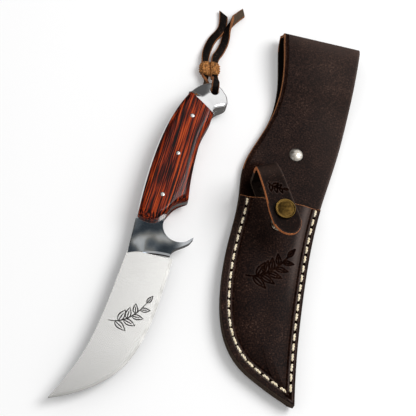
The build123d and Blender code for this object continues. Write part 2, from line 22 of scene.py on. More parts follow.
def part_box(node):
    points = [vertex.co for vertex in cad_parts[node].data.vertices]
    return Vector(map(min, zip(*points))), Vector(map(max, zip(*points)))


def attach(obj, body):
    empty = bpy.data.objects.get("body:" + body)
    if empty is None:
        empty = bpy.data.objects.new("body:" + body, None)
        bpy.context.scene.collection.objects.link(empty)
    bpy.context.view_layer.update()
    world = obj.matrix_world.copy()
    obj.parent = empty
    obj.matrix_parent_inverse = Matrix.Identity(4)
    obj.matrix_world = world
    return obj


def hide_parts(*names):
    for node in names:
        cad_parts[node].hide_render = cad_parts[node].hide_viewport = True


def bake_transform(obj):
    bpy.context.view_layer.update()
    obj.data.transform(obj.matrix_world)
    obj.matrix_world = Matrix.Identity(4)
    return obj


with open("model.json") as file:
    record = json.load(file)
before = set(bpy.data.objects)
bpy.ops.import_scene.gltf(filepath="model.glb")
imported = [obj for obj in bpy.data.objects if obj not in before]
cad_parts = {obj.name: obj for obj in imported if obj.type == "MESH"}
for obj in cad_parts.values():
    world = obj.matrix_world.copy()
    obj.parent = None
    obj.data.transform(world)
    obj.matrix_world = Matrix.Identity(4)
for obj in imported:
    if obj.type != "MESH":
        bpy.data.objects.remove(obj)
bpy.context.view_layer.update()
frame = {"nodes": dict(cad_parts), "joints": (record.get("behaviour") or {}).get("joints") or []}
MM = 0.001

# %% [markdown]
# ## Three frames of its own
#
# The knife, the sheath and the strap each lie turned on the table, so each is easier to build in
# a frame of its own, in millimetres.  A frame is found from a piece of known place in the solid
# model: the knife's from its lanyard tube, the sheath's from its rivet and the strap's from the
# hinge at its root.

# %% Frames of the knife, the sheath and the strap


def turned_frame(degrees, piece_middle, spot):
    """Matrix from a frame's own millimetres to the model's metres, where spot meets the middle."""
    turn = Matrix.Rotation(math.radians(degrees), 4, "Z")
    origin = piece_middle - turn @ Vector(spot) * MM
    return Matrix.Translation(origin) @ turn @ Matrix.Scale(MM, 4)


def middle(node):
    """The middle of a solid piece's box, in metres."""
    low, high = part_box(node)
    return (low + high) / 2


KNIFE_TURN, SHEATH_TURN = -18.0, -8.2
TUBE_SPOT = (2.2, 119.6, 0)                   # middle of the lanyard tube, in the knife's frame
RIVET_SPOT = (6.6, 37.2, 0)                   # the loop's rivet, in the sheath's frame
PANEL_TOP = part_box("snap_stud")[0].z          # top of the moulded pocket
BACK_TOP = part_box("loop_rivet_cap")[0].z      # top of the back panel
root = next(j for j in frame["joints"] if j["name"] == "strap_root")
knife = turned_frame(KNIFE_TURN, middle("lanyard_tube"), TUBE_SPOT)
rivet_middle = middle("loop_rivet_cap")
rivet_middle.z = 0
sheath = turned_frame(SHEATH_TURN, rivet_middle, RIVET_SPOT)
STRAP_TURN = math.degrees(math.atan2(root["axis"][1], root["axis"][0]))
root_height = root["pos_m"][2] - BACK_TOP
strap = turned_frame(STRAP_TURN, Vector(root["pos_m"]), (0, 0, root_height / MM))


def in_frame(points, place):
    """Millimetre points of a frame, as an array of model coordinates in metres."""
    matrix = np.array(place)
    return np.asarray(points, float) @ matrix[:3, :3].T + matrix[:3, 3]


def corners(mesh):
    """A mesh's points, as the rows of an array."""
    points = np.empty(len(mesh.vertices) * 3)
    mesh.vertices.foreach_get("co", points)
    return points.reshape(-1, 3)


def own_points(node, place):
    """A solid piece's corners, in millimetres of one of the three frames."""
    return in_frame(corners(frame["nodes"][node].data), place.inverted())


print("knife at", [round(v, 4) for v in knife.translation], "strap turn", round(STRAP_TURN, 2))

# %% [markdown]
# ## Camera
#
# The set is seen from above, a little from the near side and the left, with the table filling the
# view.  The camera looks at a spot near the table's middle from 0.9 m away.

# %% Camera
LOOK_AT = Vector((-0.0036, 0.0004, 0.006))
TOWARDS_CAMERA = Vector((-0.13, -0.42, 0))
TOWARDS_CAMERA.z = math.sqrt(1 - TOWARDS_CAMERA.length_squared)
CAMERA_DISTANCE = 0.9
VIEW_WIDTH = 0.2579              # width of the view at that distance, in metres


def placed_object(name, data):
    """A new object in the scene, at the origin."""
    made = bpy.data.objects.new(name, data)
    bpy.context.scene.collection.objects.link(made)
    return made


def add_camera():
    """The camera, with a lens that takes in the whole set from where it stands."""
    lens = bpy.data.cameras.new("camera")
    lens.sensor_width = 36
    lens.lens = lens.sensor_width * CAMERA_DISTANCE / VIEW_WIDTH
    camera = placed_object("camera", lens)
    up = (Vector((0, 1, 0)) - TOWARDS_CAMERA * TOWARDS_CAMERA.y).normalized()
    turn = Matrix((up.cross(TOWARDS_CAMERA), up, TOWARDS_CAMERA)).transposed()
    camera.matrix_world = (Matrix.Translation(LOOK_AT + TOWARDS_CAMERA * CAMERA_DISTANCE)
                           @ turn.to_4x4())
    bpy.context.scene.camera = camera


add_camera()
print("camera looks from", [round(v, 3) for v in bpy.context.scene.camera.matrix_world.translation])

# %% [markdown]
# ## Making meshes
#
# Most soft pieces here are lofts: a closed section that changes along a line.  One helper turns
# rings of points into a closed mesh, and another dresses a solid piece: it merges the solid's
# loose triangles into one skin and shades it smooth, with sharp edges kept.

# %% Mesh helpers


def shaded(name, mesh, materials, face_material=None, sharp=None):
    """A new piece from a mesh, shaded smooth.  Edges sharper than an angle stay sharp."""
    for material in materials:
        mesh.materials.append(material)
    if face_material is not None:
        mesh.polygons.foreach_set("material_index", np.asarray(face_material, np.int32))
    mesh.shade_smooth()
    if sharp is not None:
        mesh.set_sharp_from_angle(angle=math.radians(sharp))
    mesh.update()
    return placed_object(name, mesh)


def piece_of(name, points, faces, materials, face_material=None, sharp=None):
    """A new piece from points in metres and the faces between them."""
    mesh = bpy.data.meshes.new(name)
    mesh.from_pydata(np.asarray(points).tolist(), [], faces)
    return shaded(name, mesh, materials, face_material, sharp)


def ring_faces(rings, size, closed=False):
    """Quads between rings of points, and a cap on each end unless the rings close on themselves."""
    faces = []
    for i in range(rings if closed else rings - 1):
        a, b = i * size, (i + 1) % rings * size
        for j in range(size):
            k = (j + 1) % size
            faces.append((a + j, b + j, b + k, a + k))
    if not closed:
        faces.append(tuple(range(size)))
        faces.append(tuple(reversed(range((rings - 1) * size, rings * size))))
    return faces


def outwards(piece, merge=None):
    """Turns all faces of a closed piece outwards, after merging points nearer than a distance."""
    mesh = bmesh.new()
    mesh.from_mesh(piece.data)
    if merge is not None:
        bmesh.ops.remove_doubles(mesh, verts=mesh.verts, dist=merge)
    bmesh.ops.recalc_face_normals(mesh, faces=mesh.faces)
    mesh.to_mesh(piece.data)
    mesh.free()
    return piece

# %% Dressing a solid piece


def merged_solid(node):
    """A solid piece's loose triangles, merged into one skin that is open for editing."""
    mesh = bmesh.new()
    mesh.from_mesh(frame["nodes"][node].data)
    bmesh.ops.remove_doubles(mesh, verts=mesh.verts, dist=1e-6)
    return mesh


def dressed(node, body, materials, sharp=30, slices=(), reshape=None, pick=None):
    """A merged, smooth copy of a solid piece, which then stands for it.

    slices are (point, direction, count, spacing) in metres: parallel cuts that give a flat face
    enough points to be reshaped.  reshape changes an array of points; pick gives each face's
    material from its middle and its direction."""
    mesh = merged_solid(node)
    for start, direction, count, spacing in slices:
        for i in range(count):
            bmesh.ops.bisect_plane(mesh, geom=mesh.verts[:] + mesh.edges[:] + mesh.faces[:],
                                   plane_co=start + direction * spacing * i, plane_no=direction)
    if slices:
        bmesh.ops.triangulate(mesh, faces=[f for f in mesh.faces if len(f.verts) > 4])
    data = bpy.data.meshes.new(node + "_dressed")
    mesh.to_mesh(data)
    mesh.free()
    if reshape is not None:
        data.vertices.foreach_set("co", reshape(corners(data)).ravel())
    picked = None if pick is None else [pick(face.center, face.normal) for face in data.polygons]
    made = shaded(node + "_dressed", data, materials, picked, sharp)
    print(made.name, "faces", len(data.polygons))
    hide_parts(node)
    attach(made, body)
    return made


def smooth_step(low, high, values):
    """0 below low, 1 above high and a soft S between."""
    share = np.clip((np.asarray(values, float) - low) / (high - low), 0, 1)
    return share * share * (3 - 2 * share)

# %% [markdown]
# ## Making materials
#
# Each material is a Principled shader fed by patterns on object coordinates, so a pattern stays
# put on its piece.  Colours are written as sRGB hex and turned to linear.  A pattern's scale is
# one over a real size.  Where a pattern is stretched one way, a Texture-type Mapping divides by a
# size for each direction and turns the pattern with the piece at once.

# %% Material helpers


def linear(hex_colour):
    """An sRGB hex colour as linear values, with alpha."""
    channels = [int(hex_colour[i:i + 2], 16) / 255 for i in (1, 3, 5)]
    return [c / 12.92 if c <= 0.04045 else ((c + 0.055) / 1.055) ** 2.4 for c in channels] + [1]


def add(tree, kind, inputs=None, stops=None, **settings):
    """Adds a node.  inputs are values or sockets by name or number; stops are a ramp's colours."""
    made = tree.nodes.new(kind)
    for name, value in settings.items():
        setattr(made, name, value)
    for name, value in (inputs or {}).items():
        if isinstance(value, bpy.types.NodeSocket):
            tree.links.new(value, made.inputs[name])
        else:
            made.inputs[name].default_value = value
    if stops is not None:
        ramp = made.color_ramp
        while len(ramp.elements) < len(stops):
            ramp.elements.new(0.5)
        for element, (position, colour) in zip(ramp.elements, stops):
            element.position = position
            element.color = linear(colour)
    return made


def bare_tree(owner):
    """The node tree of a material or a world, emptied."""
    owner.use_nodes = True
    owner.node_tree.nodes.clear()
    return owner.node_tree


def new_material(name, **inputs):
    """A material with one Principled shader, its tree, that shader and object coordinates."""
    material = bpy.data.materials.new(name)
    tree = bare_tree(material)
    shader = add(tree, "ShaderNodeBsdfPrincipled", inputs)
    add(tree, "ShaderNodeOutputMaterial", {"Surface": shader.outputs[0]})
    place = add(tree, "ShaderNodeTexCoord").outputs["Object"]
    return material, tree, shader, place

# %% [markdown]
# ## Steel
#
# The blade is stainless steel that was ground and then blasted to an even satin: pale, with no
# clear reflection.  The ricasso, the hook and the pommel are buffed to a mirror, which shows
# as dark and bright patches of the room rather than as a colour.  The pins are filed and the edge
# is whetted, each rougher and duller than the last.  The steep walls along the spine that face
# left take a dark steel, painted shade for the shaded table that they reflect, and the tang's rim
# in the handle takes the brighter pommel steel, a painted highlight.

# %% Steel finishes


def satin_ground_steel():
    """Stainless steel, ground across the blade and blasted: soft, pale and even."""
    material, tree, shader, place = new_material(
        "satin_ground_stainless", Metallic=1.0, Roughness=0.27)
    ground = add(tree, "ShaderNodeMapping",
                 {"Vector": place, "Rotation": (0, 0, math.radians(KNIFE_TURN)),
                  "Scale": (9 * MM, 0.35 * MM, 9 * MM)}, vector_type="TEXTURE")
    lines = add(tree, "ShaderNodeTexNoise",
                {"Vector": ground.outputs[0], "Scale": 1.0, "Detail": 3.0})
    cloud = add(tree, "ShaderNodeTexNoise",
                {"Vector": place, "Scale": 1 / (30 * MM), "Detail": 1.0})
    tone = add(tree, "ShaderNodeMix", {"Factor": 0.35, 2: lines.outputs[0], 3: cloud.outputs[0]})
    colour = add(tree, "ShaderNodeValToRGB", {0: tone.outputs[0]},
                 stops=[(0.30, "#C7C6C3"), (0.70, "#D1D0CE")])
    tree.links.new(colour.outputs[0], shader.inputs["Base Color"])
    bump = add(tree, "ShaderNodeBump", {"Height": lines.outputs[0], "Distance": 0.004 * MM})
    tree.links.new(bump.outputs[0], shader.inputs["Normal"])
    return material


def clouded_metal(name, dark, bright, roughness, clouds, detail, bright_from, gloss):
    """A metal whose tone and gloss vary in soft clouds of a size in millimetres."""
    material, tree, shader, place = new_material(name, Metallic=1.0)
    cloud = add(tree, "ShaderNodeTexNoise",
                {"Vector": place, "Scale": 1 / (clouds * MM), "Detail": detail})
    tone = add(tree, "ShaderNodeValToRGB", {0: cloud.outputs[0]},
               stops=[(0.35, dark), (bright_from, bright)])
    tree.links.new(tone.outputs[0], shader.inputs["Base Color"])
    rough = add(tree, "ShaderNodeMapRange",
                {"Value": cloud.outputs[0], "To Min": gloss[0] * roughness,
                 "To Max": gloss[1] * roughness})
    tree.links.new(rough.outputs[0], shader.inputs["Roughness"])
    return material


def bare_steel(name, dark, bright, roughness):
    """Bare stainless steel, with the faint clouds that buffing or grinding leaves."""
    return clouded_metal(name, dark, bright, roughness, 8, 3.0, 0.68, (0.6, 1.5))


satin_steel = satin_ground_steel()
ricasso_steel = bare_steel("mirror_polished_stainless", "#B4B9BE", "#CDCFD1", 0.03)
pommel_steel = bare_steel("mirror_polished_pommel_steel", "#D8D8D8", "#E2E2E2", 0.07)
pin_steel = bare_steel("filed_pin_steel", "#B9B8B4", "#D5D4D0", 0.25)
edge_steel = bare_steel("whetted_edge_steel", "#A9A8A5", "#B4B3B0", 0.55)
# Painted shade: this dark steel stands for the shaded table that the left-facing spine walls
# reflect.
spine_painted_dark = bare_steel("ground_spine_steel", "#57524D", "#6E6963", 0.4)
print("steel finishes", len(bpy.data.materials))

# %% [markdown]
# ## Wood
#
# The scales are a dense red rosewood with near-black streaks along the handle, sanded fine and
# sealed with a glossy finish.  Two noises, both stretched along the grain, make it: a broad one
# for bands a few millimetres wide, and a narrow one for the dark pores and streaks.

# %% Rosewood
GRAIN_TURN = 3                   # degrees between the grain and the knife's axis


def sealed_rosewood():
    """Rosewood under a glossy sealer: orange-red with dark streaks, sharp highlights."""
    material, tree, shader, place = new_material(
        "sealed_rosewood", Roughness=0.4, IOR=1.5)
    shader.inputs["Specular IOR Level"].default_value = 0.06
    shader.inputs["Coat Weight"].default_value = 0.22
    shader.inputs["Coat Roughness"].default_value = 0.09
    along = add(tree, "ShaderNodeMapping",
                {"Vector": place, "Rotation": (0, 0, math.radians(KNIFE_TURN + GRAIN_TURN)),
                 "Scale": (MM, MM, MM)}, vector_type="TEXTURE")
    wander = add(tree, "ShaderNodeTexNoise",
                 {"Vector": place, "Scale": 1 / (22 * MM), "Detail": 1.0})
    shift = add(tree, "ShaderNodeVectorMath",
                {0: wander.outputs["Color"], 1: (1.0, 0.0, 1.6)}, operation="MULTIPLY")
    curved = add(tree, "ShaderNodeVectorMath", {0: along.outputs[0], 1: shift.outputs[0]},
                 operation="ADD")
    broad = add(tree, "ShaderNodeMapping",
                {"Vector": curved.outputs[0], "Scale": (1 / 1.2, 1 / 90, 1 / 2.6)})
    bands = add(tree, "ShaderNodeTexNoise",
                {"Vector": broad.outputs[0], "Scale": 1.0, "Detail": 2.0, "Roughness": 0.5})
    narrow = add(tree, "ShaderNodeMapping",
                 {"Vector": curved.outputs[0], "Scale": (1 / 0.7, 1 / 30, 1 / 1.0)})
    streaks = add(tree, "ShaderNodeTexNoise",
                  {"Vector": narrow.outputs[0], "Scale": 1.0, "Detail": 2.5, "Roughness": 0.6})
    mixed = add(tree, "ShaderNodeMix", {"Factor": 0.62, 2: bands.outputs[0], 3: streaks.outputs[0]})
    colour = add(tree, "ShaderNodeValToRGB", {0: mixed.outputs[0]},
                 stops=[(0.43, "#080101"), (0.475, "#240502"), (0.51, "#5C1605"),
                        (0.56, "#882B0C"), (0.64, "#B84B17")])
    tree.links.new(colour.outputs[0], shader.inputs["Base Color"])
    bump = add(tree, "ShaderNodeBump",
               {"Height": streaks.outputs[0], "Distance": 0.02 * MM, "Strength": 0.35})
    tree.links.new(bump.outputs[0], shader.inputs["Normal"])
    return material


rosewood = sealed_rosewood()
print("wood", rosewood.name, "nodes", len(rosewood.node_tree.nodes))

# %% [markdown]
# ## Leather and thread
#
# The sheath is vegetable-tanned leather, oiled nearly black-brown.  Its grain side has fine
# pebbles under a millimetre wide, its cut edges show the tan core, and its back is a rough suede.
# A number on its points darkens and dulls it where it is above 0: burnishing in tooled lines,
# grooves and creases, and painted shade in pricked holes, under the strap and on its foot.  Below
# 0 it makes the leather paler and glossier: rubbing at torn grain and along the strap's edges,
# paler leather over the loop's fold, and painted highlights on the pocket's right shoulder, round
# tooled lines, on the strap's crest and along the loop's right edge and right side.
# The thread is waxed cream polyester.

# %% Leathers and thread
# Darkened points go towards the first colour: burnishing, and painted shade.  Paler points go
# towards the second: rubbing, and painted highlights.
BURNISHED_AND_SHADE, RUBBED_AND_SHEEN = "#050201", "#7C5642"
WORN = "#4A382F"


def oiled_leather(name, deep, mid, high, pebble, roughness=0.55):
    """Oiled grain-side leather: dark and matt, with fine pebbles and worn patches."""
    material, tree, shader, place = new_material(name, Roughness=roughness, IOR=1.45)
    cells = add(tree, "ShaderNodeTexVoronoi",
                {"Vector": place, "Scale": 1 / (pebble * MM)}, feature="SMOOTH_F1")
    fine = add(tree, "ShaderNodeTexNoise",
               {"Vector": place, "Scale": 1 / (0.5 * MM), "Detail": 4.0})
    cloud = add(tree, "ShaderNodeTexNoise",
                {"Vector": place, "Scale": 1 / (14 * MM), "Detail": 4.0, "Roughness": 0.6})
    grain = add(tree, "ShaderNodeTexNoise",
                {"Vector": place, "Scale": 1 / MM, "Detail": 2.0, "Roughness": 0.6})
    tone = add(tree, "ShaderNodeMix",
               {"Factor": 0.7, 2: cloud.outputs[0], 3: grain.outputs[0]})
    colour = add(tree, "ShaderNodeValToRGB", {0: tone.outputs[0]},
                 stops=[(0.40, deep), (0.50, mid), (0.60, high), (0.70, WORN)])
    # Above 0 the number darkens towards the burnished colour, for burnishing and painted shade;
    # below 0 it pales towards the rubbed colour and adds gloss, for rubbing and painted highlights.
    darkening = add(tree, "ShaderNodeAttribute", attribute_name="darkening")
    lifted = add(tree, "ShaderNodeMath", {0: darkening.outputs["Fac"], 1: -1.0},
                 operation="MULTIPLY")
    rubbed_and_painted_sheen = add(tree, "ShaderNodeMix",
                 {"Factor": lifted.outputs[0], 6: colour.outputs[0], 7: linear(RUBBED_AND_SHEEN)},
                 data_type="RGBA")
    burnished_and_painted_shade = add(tree, "ShaderNodeMix",
                    {"Factor": darkening.outputs["Fac"], 6: rubbed_and_painted_sheen.outputs[2],
                     7: linear(BURNISHED_AND_SHADE)}, data_type="RGBA")
    tree.links.new(burnished_and_painted_shade.outputs[2], shader.inputs["Base Color"])
    sheen = add(tree, "ShaderNodeMapRange",
                {"Value": lifted.outputs[0], "From Min": -0.08, "From Max": 0.24, "To Min": 0.0,
                 "To Max": 0.5}, interpolation_type="SMOOTHSTEP")
    tree.links.new(sheen.outputs[0], shader.inputs["Specular IOR Level"])
    relief = add(tree, "ShaderNodeMath", {0: cells.outputs["Distance"], 1: fine.outputs[0]},
                 operation="ADD")
    bump = add(tree, "ShaderNodeBump",
               {"Height": relief.outputs[0], "Distance": 0.09 * MM, "Strength": 0.6})
    tree.links.new(bump.outputs[0], shader.inputs["Normal"])
    return material

# %% Cut edges, flesh side and thread


def fibrous_leather(name, deep, high, fibre=0.5, roughness=0.8, gloss=0.2):
    """Cut edge or flesh side of leather: matt, with short loose fibres."""
    material, tree, shader, place = new_material(name, Roughness=roughness)
    shader.inputs["Specular IOR Level"].default_value = gloss
    fibres = add(tree, "ShaderNodeTexNoise",
                 {"Vector": place, "Scale": 1 / (fibre * MM),
                  "Detail": 5.0, "Roughness": 0.7})
    colour = add(tree, "ShaderNodeValToRGB", {0: fibres.outputs[0]},
                 stops=[(0.36, deep), (0.64, high)])
    tree.links.new(colour.outputs[0], shader.inputs["Base Color"])
    bump = add(tree, "ShaderNodeBump",
               {"Height": fibres.outputs[0], "Distance": 0.12 * MM, "Strength": 0.7})
    tree.links.new(bump.outputs[0], shader.inputs["Normal"])
    return material


def waxed_thread():
    """Waxed polyester thread: cream, matt, slightly grubby in the twist."""
    material, tree, shader, place = new_material("waxed_cream_thread", Roughness=0.6)
    cloud = add(tree, "ShaderNodeTexNoise",
                {"Vector": place, "Scale": 1 / (0.9 * MM), "Detail": 2.0})
    colour = add(tree, "ShaderNodeValToRGB", {0: cloud.outputs[0]},
                 stops=[(0.3, "#E6D0A4"), (0.6, "#FDF3DC")])
    tree.links.new(colour.outputs[0], shader.inputs["Base Color"])
    return material

# %% The set's leathers
panel_leather = oiled_leather("oiled_sheath_leather", "#0E0706", "#20130F", "#30201A", 0.7)
pocket_leather = oiled_leather("oiled_pocket_leather", "#0B0403", "#1B0E0A", "#2A1912", 0.7)
strap_leather = oiled_leather("oiled_strap_leather", "#080301", "#110603", "#1D0D07", 0.5, 0.62)
thong_leather = oiled_leather("oiled_thong_leather", "#050201", "#0B0604", "#190F0A", 0.6)
tan_edge = fibrous_leather("tan_cut_edge", "#59301A", "#A56C42")
dark_edge = fibrous_leather("burnished_cut_edge", "#1B1411", "#54463B", gloss=0.08)
strap_edge = fibrous_leather("raw_strap_edge", "#7A3E1C", "#C67B48")
suede = fibrous_leather("suede_flesh_side", "#2E241C", "#5A4A3A")
# Painted shade: the flesh sides of the back panel and the strap are nearly black, for the shade
# under the strap.
suede_in_painted_shade = fibrous_leather("oiled_flesh_side", "#080503", "#170F0B", gloss=0.03)
bead_leather = fibrous_leather("rough_tan_leather", "#1E0C03", "#CE8B4C", 1.1, 0.7)
thread = waxed_thread()
print("materials so far", len(bpy.data.materials))

# %% [markdown]
# ## The thong
#
# The lanyard is one flat leather strip, 5.6 mm wide and 1.9 mm thick, that goes through the tube
# in the pommel.  Its two strands pass through a bead and end in slanted cuts.  Each strand
# follows a smooth NURBS line.  The strip is a loft of rounded rectangles along it: at each stop a
# direction says which way the strip's face looks, and a skew slants its cross-section, as at a
# cut end or a sharp fold.

# %% Routes of the two strands
BEAD_MIDDLE = Vector((-6.4, 140.4, -5.15))
BEAD_TURN = Matrix.Rotation(math.radians(18), 3, "Z")
STRAND_ACROSS, STRAND_ALONG = BEAD_TURN @ Vector((1, 0, 0)), BEAD_TURN @ Vector((0, 1, 0))
STRAND_GAP = 6.0
LOW = -7.6                      # middle of a strip that lies flat on the table


def in_bead(side, along):
    """A spot on the right (1) or left (-1) strand, some way along from the bead's middle."""
    return tuple(BEAD_MIDDLE + STRAND_ACROSS * side * STRAND_GAP / 2 + STRAND_ALONG * along)


FRONT_ROUTE = (
    TUBE_SPOT, (2.2, 119.6, 9.0), (0.2, 127.0, 8.4), in_bead(1, -8.5),
    in_bead(1, 8.0), (-3.9, 156.5, LOW + 0.4), (-3.2, 166.5, LOW), (-5.6, 175.5, LOW + 1.9),
    (-2.6, 184.0, LOW + 2.0), (1.4, 191.5, LOW + 0.4))
BACK_ROUTE = (
    TUBE_SPOT, (2.2, 119.6, -7.6), (-2.6, 126.0, -7.5), in_bead(-1, -7.5),
    in_bead(-1, 8.0), (-12.6, 155.5, LOW), (-11.9, 164.0, LOW), (-8.4, 172.0, LOW),
    (-8.6, 179.0, LOW), (-10.8, 185.4, LOW + 0.2))

# %% A smooth line along a route


def smooth_line(route):
    """Points in metres, evenly spread along the smooth line that a route guides."""
    curve = bpy.data.curves.new("route", "CURVE")
    curve.dimensions = "3D"
    spline = curve.splines.new("NURBS")
    spline.points.add(len(route) - 1)
    for point, spot in zip(spline.points, route):
        point.co = (*(knife @ Vector(spot)), 1)
    spline.order_u = 3
    spline.use_endpoint_u = True
    spline.resolution_u = 24
    guide = placed_object("route", curve)
    mesh = bpy.data.meshes.new_from_object(guide)
    points = np.array([vertex.co for vertex in mesh.vertices])
    bpy.data.objects.remove(guide)
    bpy.data.curves.remove(curve)
    bpy.data.meshes.remove(mesh)
    return evenly(points, 0.5 * MM)


def reach_along(points):
    """How far along a line each of its points lies."""
    return np.concatenate([[0], np.cumsum(np.linalg.norm(np.diff(points, axis=0), axis=1))])


def evenly(points, step):
    """The same line with points a step apart."""
    reach = reach_along(points)
    count = max(2, int(round(reach[-1] / step)))
    at = np.linspace(0, reach[-1], count + 1)
    return np.stack([np.interp(at, reach, points[:, i]) for i in range(3)], axis=1)


# %% Flat strips along the routes
THONG_WIDTH, THONG_THICK = 5.6 * MM, 1.9 * MM
CORNER = 0.45 * MM              # rounding of the strip's four corners


def unit_rows(vectors):
    """The same directions with a length of 1."""
    return vectors / np.linalg.norm(vectors, axis=1)[:, None]


def between(stops, shares):
    """Values between stops, which are (share, value or values), for each share of the way."""
    at = [stop[0] for stop in stops]
    values = np.array([np.atleast_1d(stop[1]) for stop in stops], float)
    return np.stack([np.interp(shares, at, values[:, i]) for i in range(values.shape[1])], axis=1)


def strip_section(width, thick, corner, steps=3):
    """Rounded rectangle as (across, up) pairs, from its upper right corner clockwise."""
    pairs = []
    for right, top in ((1, 1), (1, -1), (-1, -1), (-1, 1)):
        for i in range(steps + 1):
            turn = math.pi / 2 * i / steps
            if right * top > 0:
                turn = math.pi / 2 - turn
            pairs.append((right * (width / 2 - corner + corner * math.cos(turn)),
                          top * (thick / 2 - corner + corner * math.sin(turn))))
    return np.array(pairs)


def thong_strand(name, route, faces_way, skews, widths, node):
    """One strand of the thong: a flat strip along its smooth line.

    Stops are given by their share of the way.  faces_way: where the strip's face looks.
    skews: how many millimetres its right edge runs ahead.  widths: its width's share."""
    line = smooth_line(route)
    shares = np.linspace(0, 1, len(line))
    along = unit_rows(np.gradient(line, axis=0))
    up = between(faces_way, shares)
    up = unit_rows(up - along * np.sum(up * along, axis=1)[:, None])
    across = np.cross(along, up)
    skew = between(skews, shares)[:, 0]
    width = between(widths, shares)[:, 0]
    points = []
    for i, spot in enumerate(line):
        ring = strip_section(THONG_WIDTH * width[i], THONG_THICK, CORNER)
        side = ring[:, :1] * across[i]
        slant = ring[:, :1] / (THONG_WIDTH / 2) * skew[i] * MM * along[i]
        points.append(spot + side + slant + ring[:, 1:] * up[i])
    size = len(ring)
    # The sides of a section are right, bottom, left and top; the corners count as cut edge.
    finish = [2] * size
    finish[2 * size // 4 - 1], finish[size - 1] = 1, 0
    strand = outwards(piece_of(name, np.concatenate(points), ring_faces(len(line), size),
                               [thong_leather, suede, tan_edge],
                               finish * (len(line) - 1) + [2, 2], 40))
    print(name, "length", round(float(reach_along(line)[-1]), 4), "rings", len(line))
    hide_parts(node)
    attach(strand, "knife")
    return strand, line

# %% The two strands
front_strand, front_line = thong_strand(
    "thong_front", FRONT_ROUTE,
    faces_way=[(0, (0, -1, 0)), (0.08, (0, -1, 0.2)), (0.2, (0.1, -0.3, 1)), (0.34, (0.2, 0, 1)),
               (0.5, (0.1, 0, 1)), (0.72, (-0.2, 0, 1)), (0.79, (-0.6, 0.1, 0.8)),
               (0.84, (-1, 0.4, 0.0)), (0.88, (-0.4, 0.2, -1)), (1, (0, 0, -1))],
    skews=[(0, 0), (0.72, 0), (0.82, 3.2), (0.88, 3.0), (0.94, 1.5), (1, 2.0)],
    widths=[(0, 0.85), (0.28, 0.95), (0.34, 0.84), (0.46, 0.84), (0.52, 1), (1, 1)],
    node="lanyard_front")
back_strand, back_line = thong_strand(
    "thong_back", BACK_ROUTE,
    faces_way=[(0, (0, -1, 0)), (0.08, (0, -1, -0.2)), (0.17, (0, 0.1, -1)), (0.24, (0.9, 0, -0.4)),
               (0.33, (0.3, 0, 1)), (0.5, (0, 0, 1)), (0.8, (-0.2, 0, 1)), (1, (0, 0, 1))],
    skews=[(0, 0), (0.9, 0), (1, -2.4)],
    widths=[(0, 0.85), (0.28, 0.95), (0.34, 0.84), (0.46, 0.84), (0.55, 1), (1, 1)],
    node="lanyard_back")

# %% [markdown]
# ## The bead
#
# The bead is two rounded lobes of rough tan leather, plaited tight round the two strands.  Its
# outline is that of two circles side by side, lofted along the strands and rounded at both ends,
# and its plait is a diagonal relief pressed into the surface.

# %% Bead
BEAD_LENGTH, LOBE = 9.6, 3.45
BEAD_TOP = 3.6                  # highest point above the bead's middle, with the relief
PLAIT_STRANDS, PLAIT_TURNS, PLAIT_DEPTH = 8, 1.3, 0.42
ROUGHNESS_DEPTH = 0.09


def lobe_outline(count, scale):
    """Outline of the two lobes seen along the strands, as (across, up)."""
    outline = []
    for i in range(count):
        turn = 2 * math.pi * i / count
        across, up = math.cos(turn), math.sin(turn)
        reach = STRAND_GAP / 2 * abs(across) + math.sqrt(
            max(0, LOBE ** 2 - (STRAND_GAP / 2 * up) ** 2))
        outline.append((reach * across * scale, reach * up * scale))
    return outline


def plaited_bead():
    """The bead as a loft of lobed rings, with the plait as relief."""
    rings, size = 56, 120
    points = []
    for i in range(rings):
        along = -1 + 2 * i / (rings - 1)
        swell = (1 - 0.72 * abs(along) ** 4.0) ** 0.5
        for j, (across, up) in enumerate(lobe_outline(size, swell)):
            turn = 2 * math.pi * j / size
            way = along * PLAIT_TURNS * 2 * math.pi
            weave = (math.sin(PLAIT_STRANDS * turn + way)
                     * math.sin(PLAIT_STRANDS * turn - way))
            rough = math.sin(31 * turn + 9 * along) * math.cos(46 * along + 5 * turn)
            relief = (PLAIT_DEPTH * weave + ROUGHNESS_DEPTH * rough) / BEAD_TOP * swell
            points.append(BEAD_MIDDLE + STRAND_ACROSS * across * (1 + relief)
                          + STRAND_ALONG * along * BEAD_LENGTH / 2
                          + Vector((0, 0, min(up * (1 + relief), BEAD_TOP))))
    bead = outwards(piece_of("plaited_bead", in_frame(points, knife), ring_faces(rings, size),
                             [bead_leather], sharp=60))
    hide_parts("lanyard_bead")
    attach(bead, "bead")
    return bead


bead = plaited_bead()

# %% [markdown]
# ## The knife
#
# The steel keeps the solid's shape.  Its faces are sorted by where they look and where they lie:
# the ground faces of the blade are satin, the narrow bevel at the edge is whetted matt, the walls
# along the spine that face left are dark as painted shade, the tang's rim in the handle is a
# brighter steel as a painted highlight, and the rest is mirror polished.  The handle is crowned:
# sliced into a fine grid, its outer faces fall away a little to each side, as a hand-sanded
# handle does.

# %% Blade and tang
TANG_FROM, RICASSO_FROM, PLUNGE_END = 22, 6, -8   # places along the knife, towards its pommel
HEEL = -0.5                                       # start of the whetted edge
UNGROUND, GROUND, BEVELLED = 0.99995, 0.985, 0.6  # least rise of a face's direction
knife_inverse = knife.inverted()


